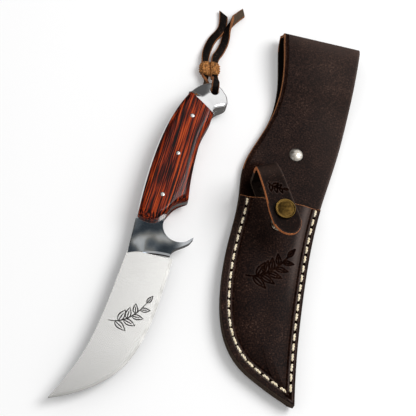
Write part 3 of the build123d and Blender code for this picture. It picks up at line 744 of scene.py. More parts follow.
def steel_finish(spot, way):
    """0 satin, 1 mirror polish, 2 whetted edge, 3 the tang's rim in a brighter steel (painted
    highlight), 4 steep walls that face left, mostly the spine's, in a dark steel (painted shade).
    """
    own = knife_inverse @ spot
    rise = abs(way.z)
    # Painted highlight: in the handle the tang takes the brighter pommel steel, for a bright line
    # along the wood.
    if own.y > TANG_FROM:
        return 3
    if own.y > RICASSO_FROM or (own.y > PLUNGE_END and rise > UNGROUND):
        return 1
    # Painted shade: steep walls that face left take a dark steel for the shaded table they reflect.
    if rise < BEVELLED:
        return 4 if way.x < 0 else 1
    if rise < GROUND:
        return 2 if own.y < HEEL else 1
    return 0


blade = dressed("blade_tang", "knife",
                [satin_steel, ricasso_steel, edge_steel, pommel_steel, spine_painted_dark], 7,
                pick=steel_finish)
# The polished flats are shaded flat, or the curved grind beside them would bend their reflection.
for face in blade.data.polygons:
    if (knife_inverse @ face.center).y > PLUNGE_END - 1:
        face.use_smooth = False

# %% Outline of a solid piece


def outline_limits(node, place, heights):
    """Left and right edge of a solid piece at each height of a frame, in its millimetres."""
    mesh = frame["nodes"][node].data
    points = own_points(node, place)
    edges = np.array([edge.vertices[:] for edge in mesh.edges])
    start, end = points[edges[:, 0]], points[edges[:, 1]]
    limits = []
    for height in np.clip(heights, points[:, 1].min() + 0.05, points[:, 1].max() - 0.05):
        crossing = (start[:, 1] - height) * (end[:, 1] - height) <= 0
        a, b = start[crossing], end[crossing]
        rise = b[:, 1] - a[:, 1]
        share = np.where(np.abs(rise) > 1e-9, (height - a[:, 1]) / np.where(rise == 0, 1, rise), 0)
        across = a[:, 0] + share * (b[:, 0] - a[:, 0])
        limits.append((across.min(), across.max()))
    return np.array(limits)

# %% Handle
HALF_STEEL, HANDLE_HALF = 2.0, 9.0       # half thicknesses of the tang and the handle
CROWN_AXIS, CROWN_RADIUS = -6.0, 62.0    # ridge of the crown across the knife, and its radius
WOOD_BACK, BACK_EASE = 0.7, 6            # how far the wood stands back from the tang's rim
NOSE_RADIUS, NOSE_FALL = 5.5, 4.6        # rounding of the wood's front end, and its most
JOINT_Y = 106.3                          # pommel's joint on the knife's axis
JOINT_WAY = (0.44, 0.9)                  # across and along the knife, square to that joint
FALL_WAY = (-0.845, 0.534)               # across and along the knife: where the pommel falls off
FALL_Y, FALL_LEAD = 116.4, 1.5           # a place on the knife's axis, and how far before it
FALL_RADIUS, FALL_CURVE = 5, 2.75        # radius and reach of its curve; a straight slope follows
HANDLE_END = 116
rim_heights = np.linspace(TANG_FROM, HANDLE_END, 60)
rim = outline_limits("scale_front", knife, rim_heights)
# The wood's front end, as how far along the knife it starts at each place across.
scale_points = own_points("scale_front", knife)
front_across = np.linspace(scale_points[:, 0].min() + 0.2, scale_points[:, 0].max() - 0.2, 50)
front_line_y = np.array([scale_points[np.abs(scale_points[:, 0] - x) < 1.2][:, 1].min()
                         for x in front_across])


def crown(points):
    """Lowers a handle piece's outer faces to each side of the ridge."""
    return crowned(in_frame(points, knife_inverse))


def scale_crown(points):
    """The same for the wood, which also stands back from the tang's rim along the spine, and is
    rounded down to the steel at its front end."""
    own = in_frame(points, knife_inverse)
    away = own[:, 0] - np.interp(own[:, 1], rim_heights, rim[:, 0])
    own[:, 0] += WOOD_BACK * (1 - np.clip(away / BACK_EASE, 0, 1))
    in_from_end = own[:, 1] - np.interp(own[:, 0], front_across, front_line_y)
    inset = NOSE_RADIUS - np.clip(in_from_end, 0, NOSE_RADIUS)
    nose = NOSE_RADIUS - np.sqrt(NOSE_RADIUS ** 2 - inset ** 2)
    return crowned(own, np.minimum(nose, NOSE_FALL))


def pommel_crown(points):
    """The same for the pommel, which also falls away on its spine side."""
    own = in_frame(points, knife_inverse)
    past_joint = JOINT_WAY[0] * own[:, 0] + JOINT_WAY[1] * (own[:, 1] - JOINT_Y)
    away = np.clip(FALL_WAY[0] * own[:, 0] + FALL_WAY[1] * (own[:, 1] - FALL_Y) + FALL_LEAD,
                   0, None)
    curve = np.minimum(away, FALL_CURVE)
    fall = (curve ** 2 / 2 + FALL_CURVE * (away - curve)) / FALL_RADIUS
    return crowned(own, smooth_step(-1, 4, past_joint) * fall)


def crowned(own, extra=0.0):
    """Lowers outer faces to each side of the ridge, and by an extra fall, in the knife's frame."""
    fall = CROWN_RADIUS - np.sqrt(CROWN_RADIUS ** 2 - (own[:, 0] - CROWN_AXIS) ** 2)
    share = np.clip((np.abs(own[:, 2]) - HALF_STEEL) / (HANDLE_HALF - HALF_STEEL), 0, 1)
    own[:, 2] -= np.sign(own[:, 2]) * share * (fall + extra)
    return in_frame(own, knife)

# %% Slices, and the handle


def slices_along(way, first, last, spacing):
    """Cuts square to a way of the knife's frame, from one place along it to another."""
    way = Vector(way)
    return (knife @ (way * first), (knife.to_3x3() @ way).normalized(),
            int((last - first) / spacing), spacing * MM)


scale_slices = [slices_along((1, 0, 0), -19, 12, 2.0), slices_along((0, 1, 0), 18, 44, 1.0)]
pommel_slices = [slices_along((1, 0, 0), -15, 14, 1.0), slices_along((0, 1, 0), 100, 127, 1.0)]
for side in ("front", "back"):
    dressed("scale_" + side, "knife", [rosewood], 25, scale_slices, scale_crown)
    dressed("pommel_" + side, "knife", [pommel_steel], 25, pommel_slices, pommel_crown)
dressed("lanyard_tube", "knife", [pommel_steel], 30, reshape=crown)
dressed("pommel_dowels", "knife", [pin_steel], 30)

# %% [markdown]
# ## Sheets of leather
#
# Each leather piece is one flat pattern bent along a line seen from its side.  A helper lays a grid
# over the pattern, from edge to edge, and gives both faces their height: rounded off along
# every cut edge, plus whatever is moulded or pressed in.  Each point also carries a number for
# the leather's material: above 0 for burnishing and for painted shade, below 0 for rubbing and
# for painted highlights.

# %% Leather sheets
EDGE_ROUND = 0.6                                    # rounding along a cut edge, in millimetres
NEAR_EDGE = np.array((0, 0.1, 0.26, EDGE_ROUND))    # grid lines close to an edge


def edge_distance(points, line):
    """Distance of each flat point to a line of flat points."""
    best = np.full(len(points), np.inf)
    for start, end in zip(line[:-1], line[1:]):
        way = end - start
        share = np.clip((points - start) @ way / max(way @ way, 1e-9), 0, 1)
        away = points - start - share[:, None] * way
        best = np.minimum(best, np.hypot(away[:, 0], away[:, 1]))
    return best


def softened(values, reach):
    """Moving average over rows, which keeps straight runs and both ends in place."""
    padded = np.concatenate([2 * values[:1] - values[reach:0:-1], values,
                             2 * values[-1:] - values[-2:-reach - 2:-1]])
    kernel = np.ones(2 * reach + 1) / (2 * reach + 1)
    return np.stack([np.convolve(padded[:, i], kernel, "valid")
                     for i in range(values.shape[1])], axis=1)


def stations(length, step, ends=(True, True)):
    """Places along a sheet, closer together at a rounded end."""
    inner = np.linspace(EDGE_ROUND, length - EDGE_ROUND, int(length / step))
    return np.concatenate([NEAR_EDGE[:-1] if ends[0] else [0], inner,
                           length - NEAR_EDGE[-2::-1] if ends[1] else [length]])


def mark_darkening(piece, marks):
    """Stores a number for each point, by which the piece's material darkens it, or makes it paler
    where the number is below 0.
    """
    attribute = piece.data.attributes.new("darkening", "FLOAT", "POINT")
    attribute.data.foreach_set("value", np.asarray(marks, np.float32))

# %% [markdown]
# A sheet takes four materials, in this order: its grain side, its edge burnished dark, its flesh
# side, and its edge where the tan core still shows.

# %% Grid and finish of a sheet
GRAIN, DARK_EDGE, FLESH, TAN_EDGE = range(4)
EDGE_DEPTH, START_DEPTH = 0.2, 0.5      # faces this near to an edge, or to the start, are edge


def sheet_grid(along, limits, columns):
    """Flat points of a sheet, station by station, and each column's share of the width."""
    near = NEAR_EDGE / np.max(limits[:, 1] - limits[:, 0])
    shares = np.concatenate([near, np.linspace(near[-1], 1 - near[-1], columns)[1:-1],
                             1 - near[::-1]])
    flat = np.empty((len(along), len(shares), 2))
    flat[..., 0] = limits[:, :1] + (limits[:, 1:] - limits[:, :1]) * shares
    flat[..., 1] = along[:, None]
    return flat.reshape(-1, 2), shares


def depth_inside(flat, along, limits, ends):
    """How far flat points lie from the two side edges, and from the nearest cut edge at all."""
    side = np.minimum(*(edge_distance(flat, np.column_stack([edge, along]))
                        for edge in limits.T))
    nearest = side.copy()
    if ends[0]:
        nearest = np.minimum(nearest, flat[:, 1] - along[0])
    if ends[1]:
        nearest = np.minimum(nearest, along[-1] - flat[:, 1])
    return side, nearest


def sheet_finish(depth, spot, station, m, tan_between, raw_rim, dark_right, tan_start):
    """Material of each face round a sheet, from its depth inside the outline, its spot on the
    ring, of which the first m are the grain side, and its station."""
    finish = np.where(spot < m - 1, GRAIN, FLESH)
    finish[(depth < EDGE_DEPTH) | (spot == m - 1) | (spot == 2 * m - 1)] = DARK_EDGE
    if tan_between is not None:
        rim = (finish == GRAIN) & (depth < raw_rim) & (spot < m // 2)
        raw = (finish == DARK_EDGE) | rim
        finish[raw & (station > tan_between[0]) & (station < tan_between[1])] = TAN_EDGE
    if dark_right is not None:
        right = (spot >= m // 2) & (spot < m + m // 2)
        finish[(finish == TAN_EDGE) & right & (station < dark_right)] = DARK_EDGE
    if tan_start:
        finish[(finish < FLESH) & (station < station[0] + START_DEPTH)] = TAN_EDGE
    return finish

# %% A sheet of leather


def leather_sheet(name, place, along, side_line, limits, thick, columns, materials, relief,
                  ends=(True, True), grain_side=1, tan_between=None, raw_rim=0.9,
                  tan_start=False, dark_right=None, slant=None):
    """A closed sheet of leather, bent along a line.

    along: distance of each station from the sheet's start.  side_line: its (y, z) there.
    limits: left and right edge there.  relief: gives moulded height, dents and a darkening
    number (burnishing and painted shade above 0, rubbing and painted highlights below 0) for
    flat points and their distance from the side edges.
    ends: whether the first and last end are cut edges, or meet another sheet.
    grain_side: 1 if the grain looks left of the way along, seen from +X, and -1 if right.
    tan_between: between these stations the cut edges show the tan core, and so does the rim on
    the left, raw_rim deep.  tan_start: the first end does.  dark_right: up to here the right
    edge stays dark.  slant: how far the left edge runs ahead along Y at each station."""
    flat, shares = sheet_grid(along, limits, columns)
    rows, m = len(along), len(shares)
    side, depth = depth_inside(flat, along, limits, ends)
    inset = EDGE_ROUND - np.minimum(depth, EDGE_ROUND)
    half = thick / 2 - EDGE_ROUND + np.sqrt(EDGE_ROUND ** 2 - inset ** 2)
    raised, dented, darkening = relief(flat[:, 0], flat[:, 1], side)
    way = unit_rows(np.gradient(side_line, axis=0))
    normal = np.repeat(np.column_stack([-way[:, 1], way[:, 0]]) * grain_side, m, axis=0)
    spine = np.repeat(side_line, m, axis=0)
    if slant is not None:
        spine[:, 0] += np.repeat(slant, m) * (1 - np.tile(shares, rows))

    def lifted(height):
        """The flat points, bent along the line and raised by heights."""
        return np.column_stack([flat[:, 0], spine + normal * height[:, None]])

    def ringed(grain, flesh):
        """One ring at each station: the grain side from left to right, then the flesh back."""
        return np.concatenate([grain.reshape(rows, m, -1), flesh.reshape(rows, m, -1)[:, ::-1]],
                              axis=1)

    rings = ringed(lifted(half + raised + dented), lifted(-half + raised))
    marks = ringed(darkening, np.zeros(len(flat)))
    size = 2 * m
    ring, spot = np.meshgrid(np.arange(rows - 1), np.arange(size), indexing="ij")
    here, after = ring * size + spot, ring * size + (spot + 1) % size
    quads = np.stack([here, here + size, after + size, after], axis=-1).reshape(-1, 4)
    finish = sheet_finish(ringed(depth, depth).ravel()[quads].mean(axis=1), spot.ravel(),
                          along[ring.ravel()], m, tan_between, raw_rim, dark_right, tan_start)
    caps = [(j, j + 1, size - 2 - j, size - 1 - j) for j in range(m - 1)]
    last = (rows - 1) * size
    caps += [tuple(last + i for i in reversed(cap)) for cap in caps]
    cap_finish = np.full(len(caps), DARK_EDGE)
    if tan_start:
        cap_finish[:m - 1] = TAN_EDGE
    sheet = piece_of(name, in_frame(rings.reshape(-1, 3), place), quads.tolist() + caps,
                     materials, np.concatenate([finish, cap_finish]))
    mark_darkening(sheet, marks.ravel())
    outwards(sheet, merge=1e-7)
    sheet.data.set_sharp_from_angle(angle=math.radians(50))
    print(name, "faces", len(sheet.data.polygons), "length", round(along[-1] - along[0], 1),
          "width", round(float(np.max(limits[:, 1] - limits[:, 0])), 1))
    return sheet

# %% Side views of bent leather
PATH_STEP = 0.5                  # between points of a side view, in millimetres


def side_path(*runs):
    """A side view as evenly spaced (y, z) points, and how far along each lies, from runs: lists
    of points, or arcs given as (centre y, centre z, radius, from degrees, to degrees)."""
    points = []
    for run in runs:
        if isinstance(run, tuple):
            y, z, radius, first, last = run
            turns = np.radians(np.linspace(first, last, 40))
            points += list(zip(y + radius * np.cos(turns), z + radius * np.sin(turns)))
        else:
            points += run
    line = evenly(np.array([(0, y, z) for y, z in points], float), PATH_STEP)[:, 1:]
    return reach_along(line), line


def bent_line(spots, rounds=4):
    """A smooth line of (y, z) points that a bent line of a few spots guides."""
    line = np.array(spots, float)
    for _ in range(rounds):
        quarter = 0.75 * line[:-1] + 0.25 * line[1:]
        three = 0.25 * line[:-1] + 0.75 * line[1:]
        cut = np.stack([quarter, three], axis=1).reshape(-1, 2)
        line = np.vstack([line[:1], cut[1:-1], line[-1:]])
    return [tuple(spot) for spot in line]


def at_stations(reach, line, along):
    """The side view's (y, z) at each station."""
    return np.stack([np.interp(along, reach, line[:, i]) for i in (0, 1)], axis=1)

# %% [markdown]
# ## The back of the sheath
#
# One piece of leather is the pocket's back, rises over the belt and folds down behind.  Its
# outline comes from the solid; its side view is a soft S, a fold and a long straight flap.  The
# loop's front narrows below the fold, and the fold runs a little askew, so that the flap behind
# shows on the left.

# %% Back panel with its belt loop
LEATHER = 2.4
BACK_MIDDLE = BACK_TOP / MM - LEATHER / 2
panel_points = own_points("back_panel", sheath)
PANEL_LOW, PANEL_HIGH = panel_points[:, 1].min(), panel_points[:, 1].max()
LOOP_MIDDLE = panel_points[:, 2].max() - LEATHER / 2
FOLD_RADIUS = (LOOP_MIDDLE - LEATHER / 2) / 2
FOLD_Y = PANEL_HIGH - FOLD_RADIUS - LEATHER / 2
LOOP_START, FLAP_END = 48.0, -20.0
WAIST, WAIST_BELOW, WAIST_REACH = 1.5, 30, 20    # how the left edge narrows below the fold
FOLD_OUT, FLAP_OUT, FOLD_SLANT = 0.7, 2.0, 1.8   # how it stands out at the fold and behind
# Middle of the painted shade that stands for the strap's shadow on the back panel.
STRAP_SHADE_MIDDLE = (-16.0, 9.0)        # middle of the strap's foot
CREASE_INSET, CREASE_DEPTH = 2.0, 0.14


def back_side():
    """Side view of the back panel, from the pocket's tip to the flap's end."""
    rise = []
    for share in np.linspace(0, 1, 40):
        soft = 2 * share ** 2 if share < 0.5 else 1 - 2 * (1 - share) ** 2
        rise.append((LOOP_START + share * (FOLD_Y - LOOP_START),
                     BACK_MIDDLE + soft * (LOOP_MIDDLE - BACK_MIDDLE)))
    fold = (FOLD_Y, LOOP_MIDDLE - FOLD_RADIUS, FOLD_RADIUS, 90, -90)
    return side_path([(PANEL_LOW, BACK_MIDDLE)], rise, fold, [(FLAP_END, LEATHER / 2)])


def soft_waves(x, y, height, length):
    """Slow unevenness of hand-cut leather."""
    return height * (np.sin(x / length + 0.4) * np.cos(y / (1.3 * length) + 1.1)
                     + 0.5 * np.sin((x + y) / (0.6 * length)))


def back_relief(x, s, side):
    """A creased line along the edge, painted shade under the strap, paler and glossier leather over
    the fold, and painted highlights along the right edge and over the right side.
    """
    y = s + PANEL_LOW
    crease = np.exp(-((side - CREASE_INSET) / 0.4) ** 2) * (y > 6)
    # Painted shade: a dark patch round the strap's foot, where its shadow falls.
    painted_strap_shade = np.exp(-(((x - STRAP_SHADE_MIDDLE[0]) / 9) ** 2 + ((y - STRAP_SHADE_MIDDLE[1]) / 13) ** 2) ** 2)
    # Paler and glossier over the fold; a painted highlight along the right edge, and painted light
    # over the right side.
    rubbed_and_painted_sheen = (0.12 * np.exp(-((s - fold_reach + 2) / 8) ** 2)
              + 0.10 * np.exp(-(side / 1.3) ** 2) * (x > 0)
              + 0.03 * smooth_step(4, 34, x + 0.25 * (y - 40)) * (s < fold_reach + 20))
    darkening = np.maximum(0.6 * crease * (x < 12), 0.92 * painted_strap_shade) - rubbed_and_painted_sheen
    return np.zeros(len(x)), -CREASE_DEPTH * crease, darkening

# %% The back panel as a sheet
reach, line = back_side()
fold_reach = reach[np.argmax(line[:, 0])]
along = stations(reach[-1], 1.25)
side_line = at_stations(reach, line, along)
limits = softened(outline_limits("back_panel", sheath, side_line[:, 0]), 2)
in_front = along < fold_reach
waist = np.exp(-((side_line[:, 0] - FOLD_Y + WAIST_BELOW) / WAIST_REACH) ** 2)
near_fold = smooth_step(FOLD_Y - 30, FOLD_Y + 2, side_line[:, 0])
limits[:, 0] += np.where(in_front, WAIST * waist - FOLD_OUT * near_fold ** 3,
                         -FLAP_OUT * near_fold)
back_panel = leather_sheet("sheath_back", sheath, along, side_line, limits, LEATHER, 56,
                           [panel_leather, dark_edge, suede_in_painted_shade, tan_edge], back_relief,
                           tan_between=(20 - PANEL_LOW, fold_reach + 12), dark_right=math.inf,
                           slant=FOLD_SLANT * near_fold)
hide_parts("back_panel")
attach(back_panel, "sheath")
dressed("pocket_welt", "sheath", [dark_edge], 40)

# %% [markdown]
# ## Leaf sprigs
#
# The blade, the pocket and the strap each carry a small decoration.  All three are plain leaf
# sprigs, each in a layout of its own: a curved stem with pointed leaves along both sides.

# %% Leaf sprig


def leaf(root_spot, turn, length, width, midrib=True):
    """Outline of a pointed leaf, and its midrib, as lines of flat points."""
    way = np.array((math.cos(turn), math.sin(turn)))
    across = np.array((-way[1], way[0]))
    shares = np.linspace(0, 1, 14)
    swell = width / 2 * np.sin(math.pi * shares ** 0.8) * (1 - 0.25 * shares)
    spine = root_spot + shares[:, None] * length * way
    lines = [spine + swell[:, None] * across, spine - swell[:, None] * across]
    if midrib:
        lines.append(spine[:10])
    return lines


def sprig(stem, leaves, length, width, spread=50, midrib=True):
    """Lines of a sprig: a bent stem through three points, leaves on both sides and one on top."""
    a, b, c = (np.array(point, float) for point in stem)
    shares = np.linspace(0, 1, 24)[:, None]
    line = (1 - shares) ** 2 * a + 2 * shares * (1 - shares) * b + shares ** 2 * c
    lines = [line]
    for i in range(leaves):
        at = 4 + int(18 * i / leaves)
        way = line[at + 1] - line[at]
        side = 1 if i % 2 else -1
        size = 1 - 0.35 * i / leaves
        lines += leaf(line[at], math.atan2(way[1], way[0]) + side * math.radians(spread),
                      length * size, width * size, midrib)
    way = line[-1] - line[-2]
    lines += leaf(line[-1], math.atan2(way[1], way[0]), length * 0.7, width * 0.6, midrib)
    return lines


def nearness(x, y, lines, softness):
    """1 on the lines and 0 away from them, for many flat points."""
    points = np.column_stack([x, y])
    best = np.full(len(points), 99.0)
    low = np.min([line.min(axis=0) for line in lines], axis=0) - 3
    high = np.max([line.max(axis=0) for line in lines], axis=0) + 3
    close = np.all((points > low) & (points < high), axis=1)
    for line in lines:
        best[close] = np.minimum(best[close], edge_distance(points[close], line))
    return np.exp(-(best / softness) ** 2)

# %% [markdown]
# ## The front of the pocket
#
# The front panel was wetted and moulded over the blade, so its middle stands up.  A groove for
# the thread runs round it, pricked through between the stitches, with a creased line beside it.

# %% Stitch places


def stitch_places(node):
    """Middle, and turn about Z, of each stitch of a row, in the sheath's millimetres."""
    mesh = merged_solid(node)
    places, seen = [], set()
    for first in mesh.verts:
        if first in seen:
            continue
        seen.add(first)
        stitch, to_visit = [], [first]
        while to_visit:
            vertex = to_visit.pop()
            stitch.append(vertex.co[:])
            for edge in vertex.link_edges:
                other = edge.other_vert(vertex)
                if other not in seen:
                    seen.add(other)
                    to_visit.append(other)
        flat = in_frame(stitch, sheath.inverted())[:, :2]
        spot = flat.mean(axis=0)
        way = np.linalg.svd(flat - spot, full_matrices=False)[2][0]
        places.append((spot, math.atan2(way[1], way[0])))
    mesh.free()
    return places


front_places = stitch_places("front_stitching")
back_places = stitch_places("back_stitching")
print("stitches in front", len(front_places), "behind", len(back_places))

# %% Front panel
DOME, DOME_WIDTH = 2.3, 14.0         # height of the moulded middle, and width of its shoulder
STITCH_LENGTH, STITCH_PITCH = 4.4, 6.4
SPINE_SEAM, EDGE_SEAM = 4.9, 2.8     # edge of the leather to the stitches, on each side
SEAM_CREASE = 2.6                    # stitches to the creased line beside them
GROOVE_DEPTH, CREASE_CUT, HOLE_DEPTH, TOOLED_DEPTH = 0.38, 0.16, 0.7, 0.36
FRONT_LOW = own_points("front_panel", sheath)[:, 1].min()
FRONT_MIDDLE = PANEL_TOP / MM - DOME - LEATHER / 2
pricked = np.array([spot + np.array((math.cos(turn), math.sin(turn))) * STITCH_PITCH / 2 * end
                    for spot, turn in front_places for end in (-1, 1)])
pocket_sprig = sprig(((-15, -54), (-2, -55), (9, -37)), 9, 10.5, 4.6)


def front_relief(x, s, side):
    """The moulded middle, the sewing groove with its holes, the crease and the tooled sprig.  The
    holes are darkened as painted shade; the dome's right shoulder and the lips round the tooled
    lines are paled as painted highlights.
    """
    y = -s
    middle_line = np.interp(s, along, limits.mean(axis=1))
    seam = np.where(x < middle_line, SPINE_SEAM, EDGE_SEAM)
    climb = np.clip((side - seam - SEAM_CREASE) / DOME_WIDTH, 0, 1)
    raised = DOME * (1 - (1 - climb) ** 2.3) * smooth_step(0, 0.16, climb)
    raised += soft_waves(x, y, 0.05, 9)
    groove = np.exp(-((side - seam) / 0.7) ** 2)
    torn = np.exp(-((np.abs(side - seam) - 1.15) / 0.25) ** 2)
    crease = np.exp(-((side - seam - SEAM_CREASE) / 0.28) ** 2)
    points = np.column_stack([x, y])
    hole = np.zeros(len(x))
    close = np.abs(side - seam) < 1.5
    for spot in pricked:
        away = np.hypot(*(points[close] - spot).T)
        hole[close] = np.maximum(hole[close], np.exp(-(away / 0.62) ** 2))
    tooled = nearness(x, y, pocket_sprig, 0.36)
    dented = -(GROOVE_DEPTH * groove + CREASE_CUT * crease + HOLE_DEPTH * hole
               + TOOLED_DEPTH * tooled)
    # Darkening in the pricked holes is painted shade; in the groove, the crease and the tooled
    # lines it is burnishing.
    darkening = np.maximum.reduce([0.75 * groove, 0.4 * crease, hole, 0.6 * tooled])
    # Painted highlight on the dome's right shoulder, which faces the lamp.
    shoulder = np.exp(-((side - seam - 5.5) / 2.6) ** 2) * (x > middle_line)
    # Painted highlight along the raised lips round the tooled lines.
    painted_lip_highlight = nearness(x, y, pocket_sprig, 0.75) * (1 - tooled)
    # Torn grain is rubbed pale; the shoulder and lip terms are painted highlights.
    rubbed_and_painted_sheen = 0.25 * torn + 0.14 * shoulder * smooth_step(-75, -25, y) + 0.16 * painted_lip_highlight
    return raised, dented, np.clip(darkening, 0, 1) - rubbed_and_painted_sheen

# %% The pocket's front as a sheet
along = stations(-FRONT_LOW, 0.42)
side_line = np.column_stack([-along, np.full(len(along), FRONT_MIDDLE)])
limits = softened(outline_limits("front_panel", sheath, -along), 5)
front_panel = leather_sheet("sheath_front", sheath, along, side_line, limits, LEATHER, 130,
                            [pocket_leather, dark_edge, suede, tan_edge], front_relief,
                            grain_side=-1, tan_start=True)
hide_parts("front_panel")
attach(front_panel, "sheath")

# %% [markdown]
# ## Thread
#
# Each visible stitch is a short length of two-ply twisted thread whose ends dive into pricked
# holes.  Geometry Nodes make one stitch from a curve and put a copy at every place of the seam,
# each slanted a little, as hand sewing is.

# %% Stitching


def twisted_stitches():
    """Tree: a two-ply stitch on each point, turned by the point's "turn"."""
    tree = bpy.data.node_groups.new("twisted_stitches", "GeometryNodeTree")
    face = tree.interface
    face.new_socket("Seam", in_out="INPUT", socket_type="NodeSocketGeometry")
    for name in ("Length", "Ply radius", "Dive", "Turns", "Slant"):
        face.new_socket(name, in_out="INPUT", socket_type="NodeSocketFloat")
    face.new_socket("Thread", in_out="INPUT", socket_type="NodeSocketMaterial")
    face.new_socket("Stitches", in_out="OUTPUT", socket_type="NodeSocketGeometry")
    given = add(tree, "NodeGroupInput").outputs

    tips = []
    for share_of_length in (-0.5, 0.5):
        reach = add(tree, "ShaderNodeMath", {0: given["Length"], 1: share_of_length},
                    operation="MULTIPLY")
        tips.append(add(tree, "ShaderNodeCombineXYZ", {0: reach.outputs[0]}).outputs[0])
    length_of_thread = add(tree, "GeometryNodeCurvePrimitiveLine",
                           {"Start": tips[0], "End": tips[1]})
    parted = add(tree, "GeometryNodeResampleCurve",
                 {"Curve": length_of_thread.outputs[0], "Count": 13})
    share = add(tree, "GeometryNodeSplineParameter").outputs["Factor"]
    from_middle = add(tree, "ShaderNodeMath", {0: share, 1: 2.0, 2: -1.0},
                      operation="MULTIPLY_ADD")
    distance = add(tree, "ShaderNodeMath", {0: from_middle.outputs[0]}, operation="ABSOLUTE")
    steep = add(tree, "ShaderNodeMath", {0: distance.outputs[0], 1: 5.0}, operation="POWER")
    down = add(tree, "ShaderNodeMath", {0: steep.outputs[0], 1: given["Dive"]},
               operation="MULTIPLY")
    turns = add(tree, "ShaderNodeMath", {0: share, 1: given["Turns"]}, operation="MULTIPLY")
    plies = []
    for phase in (0.0, math.pi):
        angle = add(tree, "ShaderNodeMath", {0: turns.outputs[0], 1: 2 * math.pi, 2: phase},
                    operation="MULTIPLY_ADD")
        wound = []
        for wave in ("COSINE", "SINE"):
            unit = add(tree, "ShaderNodeMath", {0: angle.outputs[0]}, operation=wave)
            wound.append(add(tree, "ShaderNodeMath", {0: unit.outputs[0], 1: given["Ply radius"]},
                             operation="MULTIPLY").outputs[0])
        height = add(tree, "ShaderNodeMath", {0: wound[1], 1: down.outputs[0]},
                     operation="SUBTRACT")
        offset = add(tree, "ShaderNodeCombineXYZ", {1: wound[0], 2: height.outputs[0]})
        plies.append(add(tree, "GeometryNodeSetPosition",
                         {"Geometry": parted.outputs[0], "Offset": offset.outputs[0]}))
    both = add(tree, "GeometryNodeJoinGeometry")
    for ply in plies:
        tree.links.new(ply.outputs[0], both.inputs[0])
    radius = add(tree, "ShaderNodeMath", {0: given["Ply radius"], 1: 1.15}, operation="MULTIPLY")
    ring = add(tree, "GeometryNodeCurvePrimitiveCircle",
               {"Resolution": 6, "Radius": radius.outputs[0]})
    stitch = add(tree, "GeometryNodeCurveToMesh",
                 {"Curve": both.outputs[0], "Profile Curve": ring.outputs[0], "Fill Caps": True})
    turn = add(tree, "GeometryNodeInputNamedAttribute", {"Name": "turn"},
               data_type="FLOAT_VECTOR").outputs[0]
    other_way = add(tree, "ShaderNodeMath", {0: given["Slant"], 1: -1.0}, operation="MULTIPLY")
    slant = add(tree, "FunctionNodeRandomValue",
                {2: other_way.outputs[0], 3: given["Slant"], "Seed": 7}, data_type="FLOAT")
    about_z = add(tree, "ShaderNodeCombineXYZ", {2: slant.outputs[1]})
    slanted = add(tree, "ShaderNodeVectorMath", {0: turn, 1: about_z.outputs[0]}, operation="ADD")
    placed = add(tree, "GeometryNodeInstanceOnPoints",
                 {"Points": given["Seam"], "Instance": stitch.outputs[0],
                  "Rotation": slanted.outputs[0]})
    real = add(tree, "GeometryNodeRealizeInstances", {0: placed.outputs[0]})
    smooth = add(tree, "GeometryNodeSetShadeSmooth", {0: real.outputs[0]})
    waxed = add(tree, "GeometryNodeSetMaterial",
                {"Geometry": smooth.outputs[0], "Material": given["Thread"]})
    add(tree, "NodeGroupOutput", {0: waxed.outputs[0]})
    return tree

# %% Running a tree


def applied(name, points, attributes, tree, **values):
    """Runs a Geometry Nodes tree on loose points and keeps its result as a plain mesh."""
    mesh = bpy.data.meshes.new("seam")
    mesh.from_pydata([tuple(point) for point in points], [], [])
    for attribute, rows in attributes.items():
        stored = mesh.attributes.new(attribute, "FLOAT_VECTOR", "POINT")
        stored.data.foreach_set("vector", np.asarray(rows, np.float32).ravel())
    seam = placed_object("seam", mesh)
    modifier = seam.modifiers.new("tree", "NODES")
    modifier.node_group = tree
    for socket in tree.interface.items_tree:
        word = socket.name.replace(" ", "_")
        if socket.in_out == "INPUT" and word in values:
            modifier[socket.identifier] = values[word]
    result = bpy.data.meshes.new_from_object(
        seam.evaluated_get(bpy.context.evaluated_depsgraph_get()))
    bpy.data.objects.remove(seam)
    result.name = name
    print(name, "copies", len(points), "faces", len(result.polygons))
    return placed_object(name, result)

# %% The two seams
stitch_tree = twisted_stitches()
FRONT_TOP = FRONT_MIDDLE + LEATHER / 2
for name, places, level, upside in (
        ("front_stitches", front_places, FRONT_TOP + 0.08, 0),
        ("back_stitches", back_places, BACK_MIDDLE - LEATHER / 2 - 0.02, math.pi)):
    spots = in_frame([(*spot, level) for spot, turn in places], sheath)
    turns = [(upside, 0, turn + math.radians(SHEATH_TURN)) for spot, turn in places]
    row = applied(name, spots, {"turn": turns}, stitch_tree, Length=STITCH_LENGTH * MM,
                  Ply_radius=0.38 * MM, Dive=1.1 * MM, Turns=1.2, Slant=math.radians(3),
                  Thread=thread)
    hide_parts(name.replace("stitches", "stitching"))
    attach(row, "sheath")

# %% [markdown]
# ## The strap
#
# The retention strap is one strip: a foot riveted to the back panel, a bend up, a crest, and a
# front leg that ends in a round tip under the snap.  It bends at two hinges, so it is two sheets
# that meet halfway up.

# %% Strap
STRAP_LEATHER, STRAP_WIDTH, STRAP_HEAD = 2.2, 13.0, 17.6
CREST, STRAP_BEND, LEG_RISE = 25.4, 3.6, 4.0     # crest's height, radius and slope in degrees
FOOT_END, FOOT_BEND, SPLIT = -11.9, 2.0, 10.0    # foot's end, its bend up, and the cut above it
SNAP_AWAY, TIP_AWAY = 33.4, 49.8                 # from the riser to the snap and to the tip
TIP_OVAL = 11.0                                  # length of the round tip
STAMPED_DEPTH, DISH_DEPTH = 0.45, 0.12
leg_way = np.array((-math.cos(math.radians(LEG_RISE)), math.sin(math.radians(LEG_RISE))))
bend_end = np.array((STRAP_BEND * (math.cos(math.radians(90 - LEG_RISE)) - 1),
                     CREST - STRAP_BEND + STRAP_BEND * math.sin(math.radians(90 - LEG_RISE))))
leg_length = (TIP_AWAY + bend_end[0]) / math.cos(math.radians(LEG_RISE))


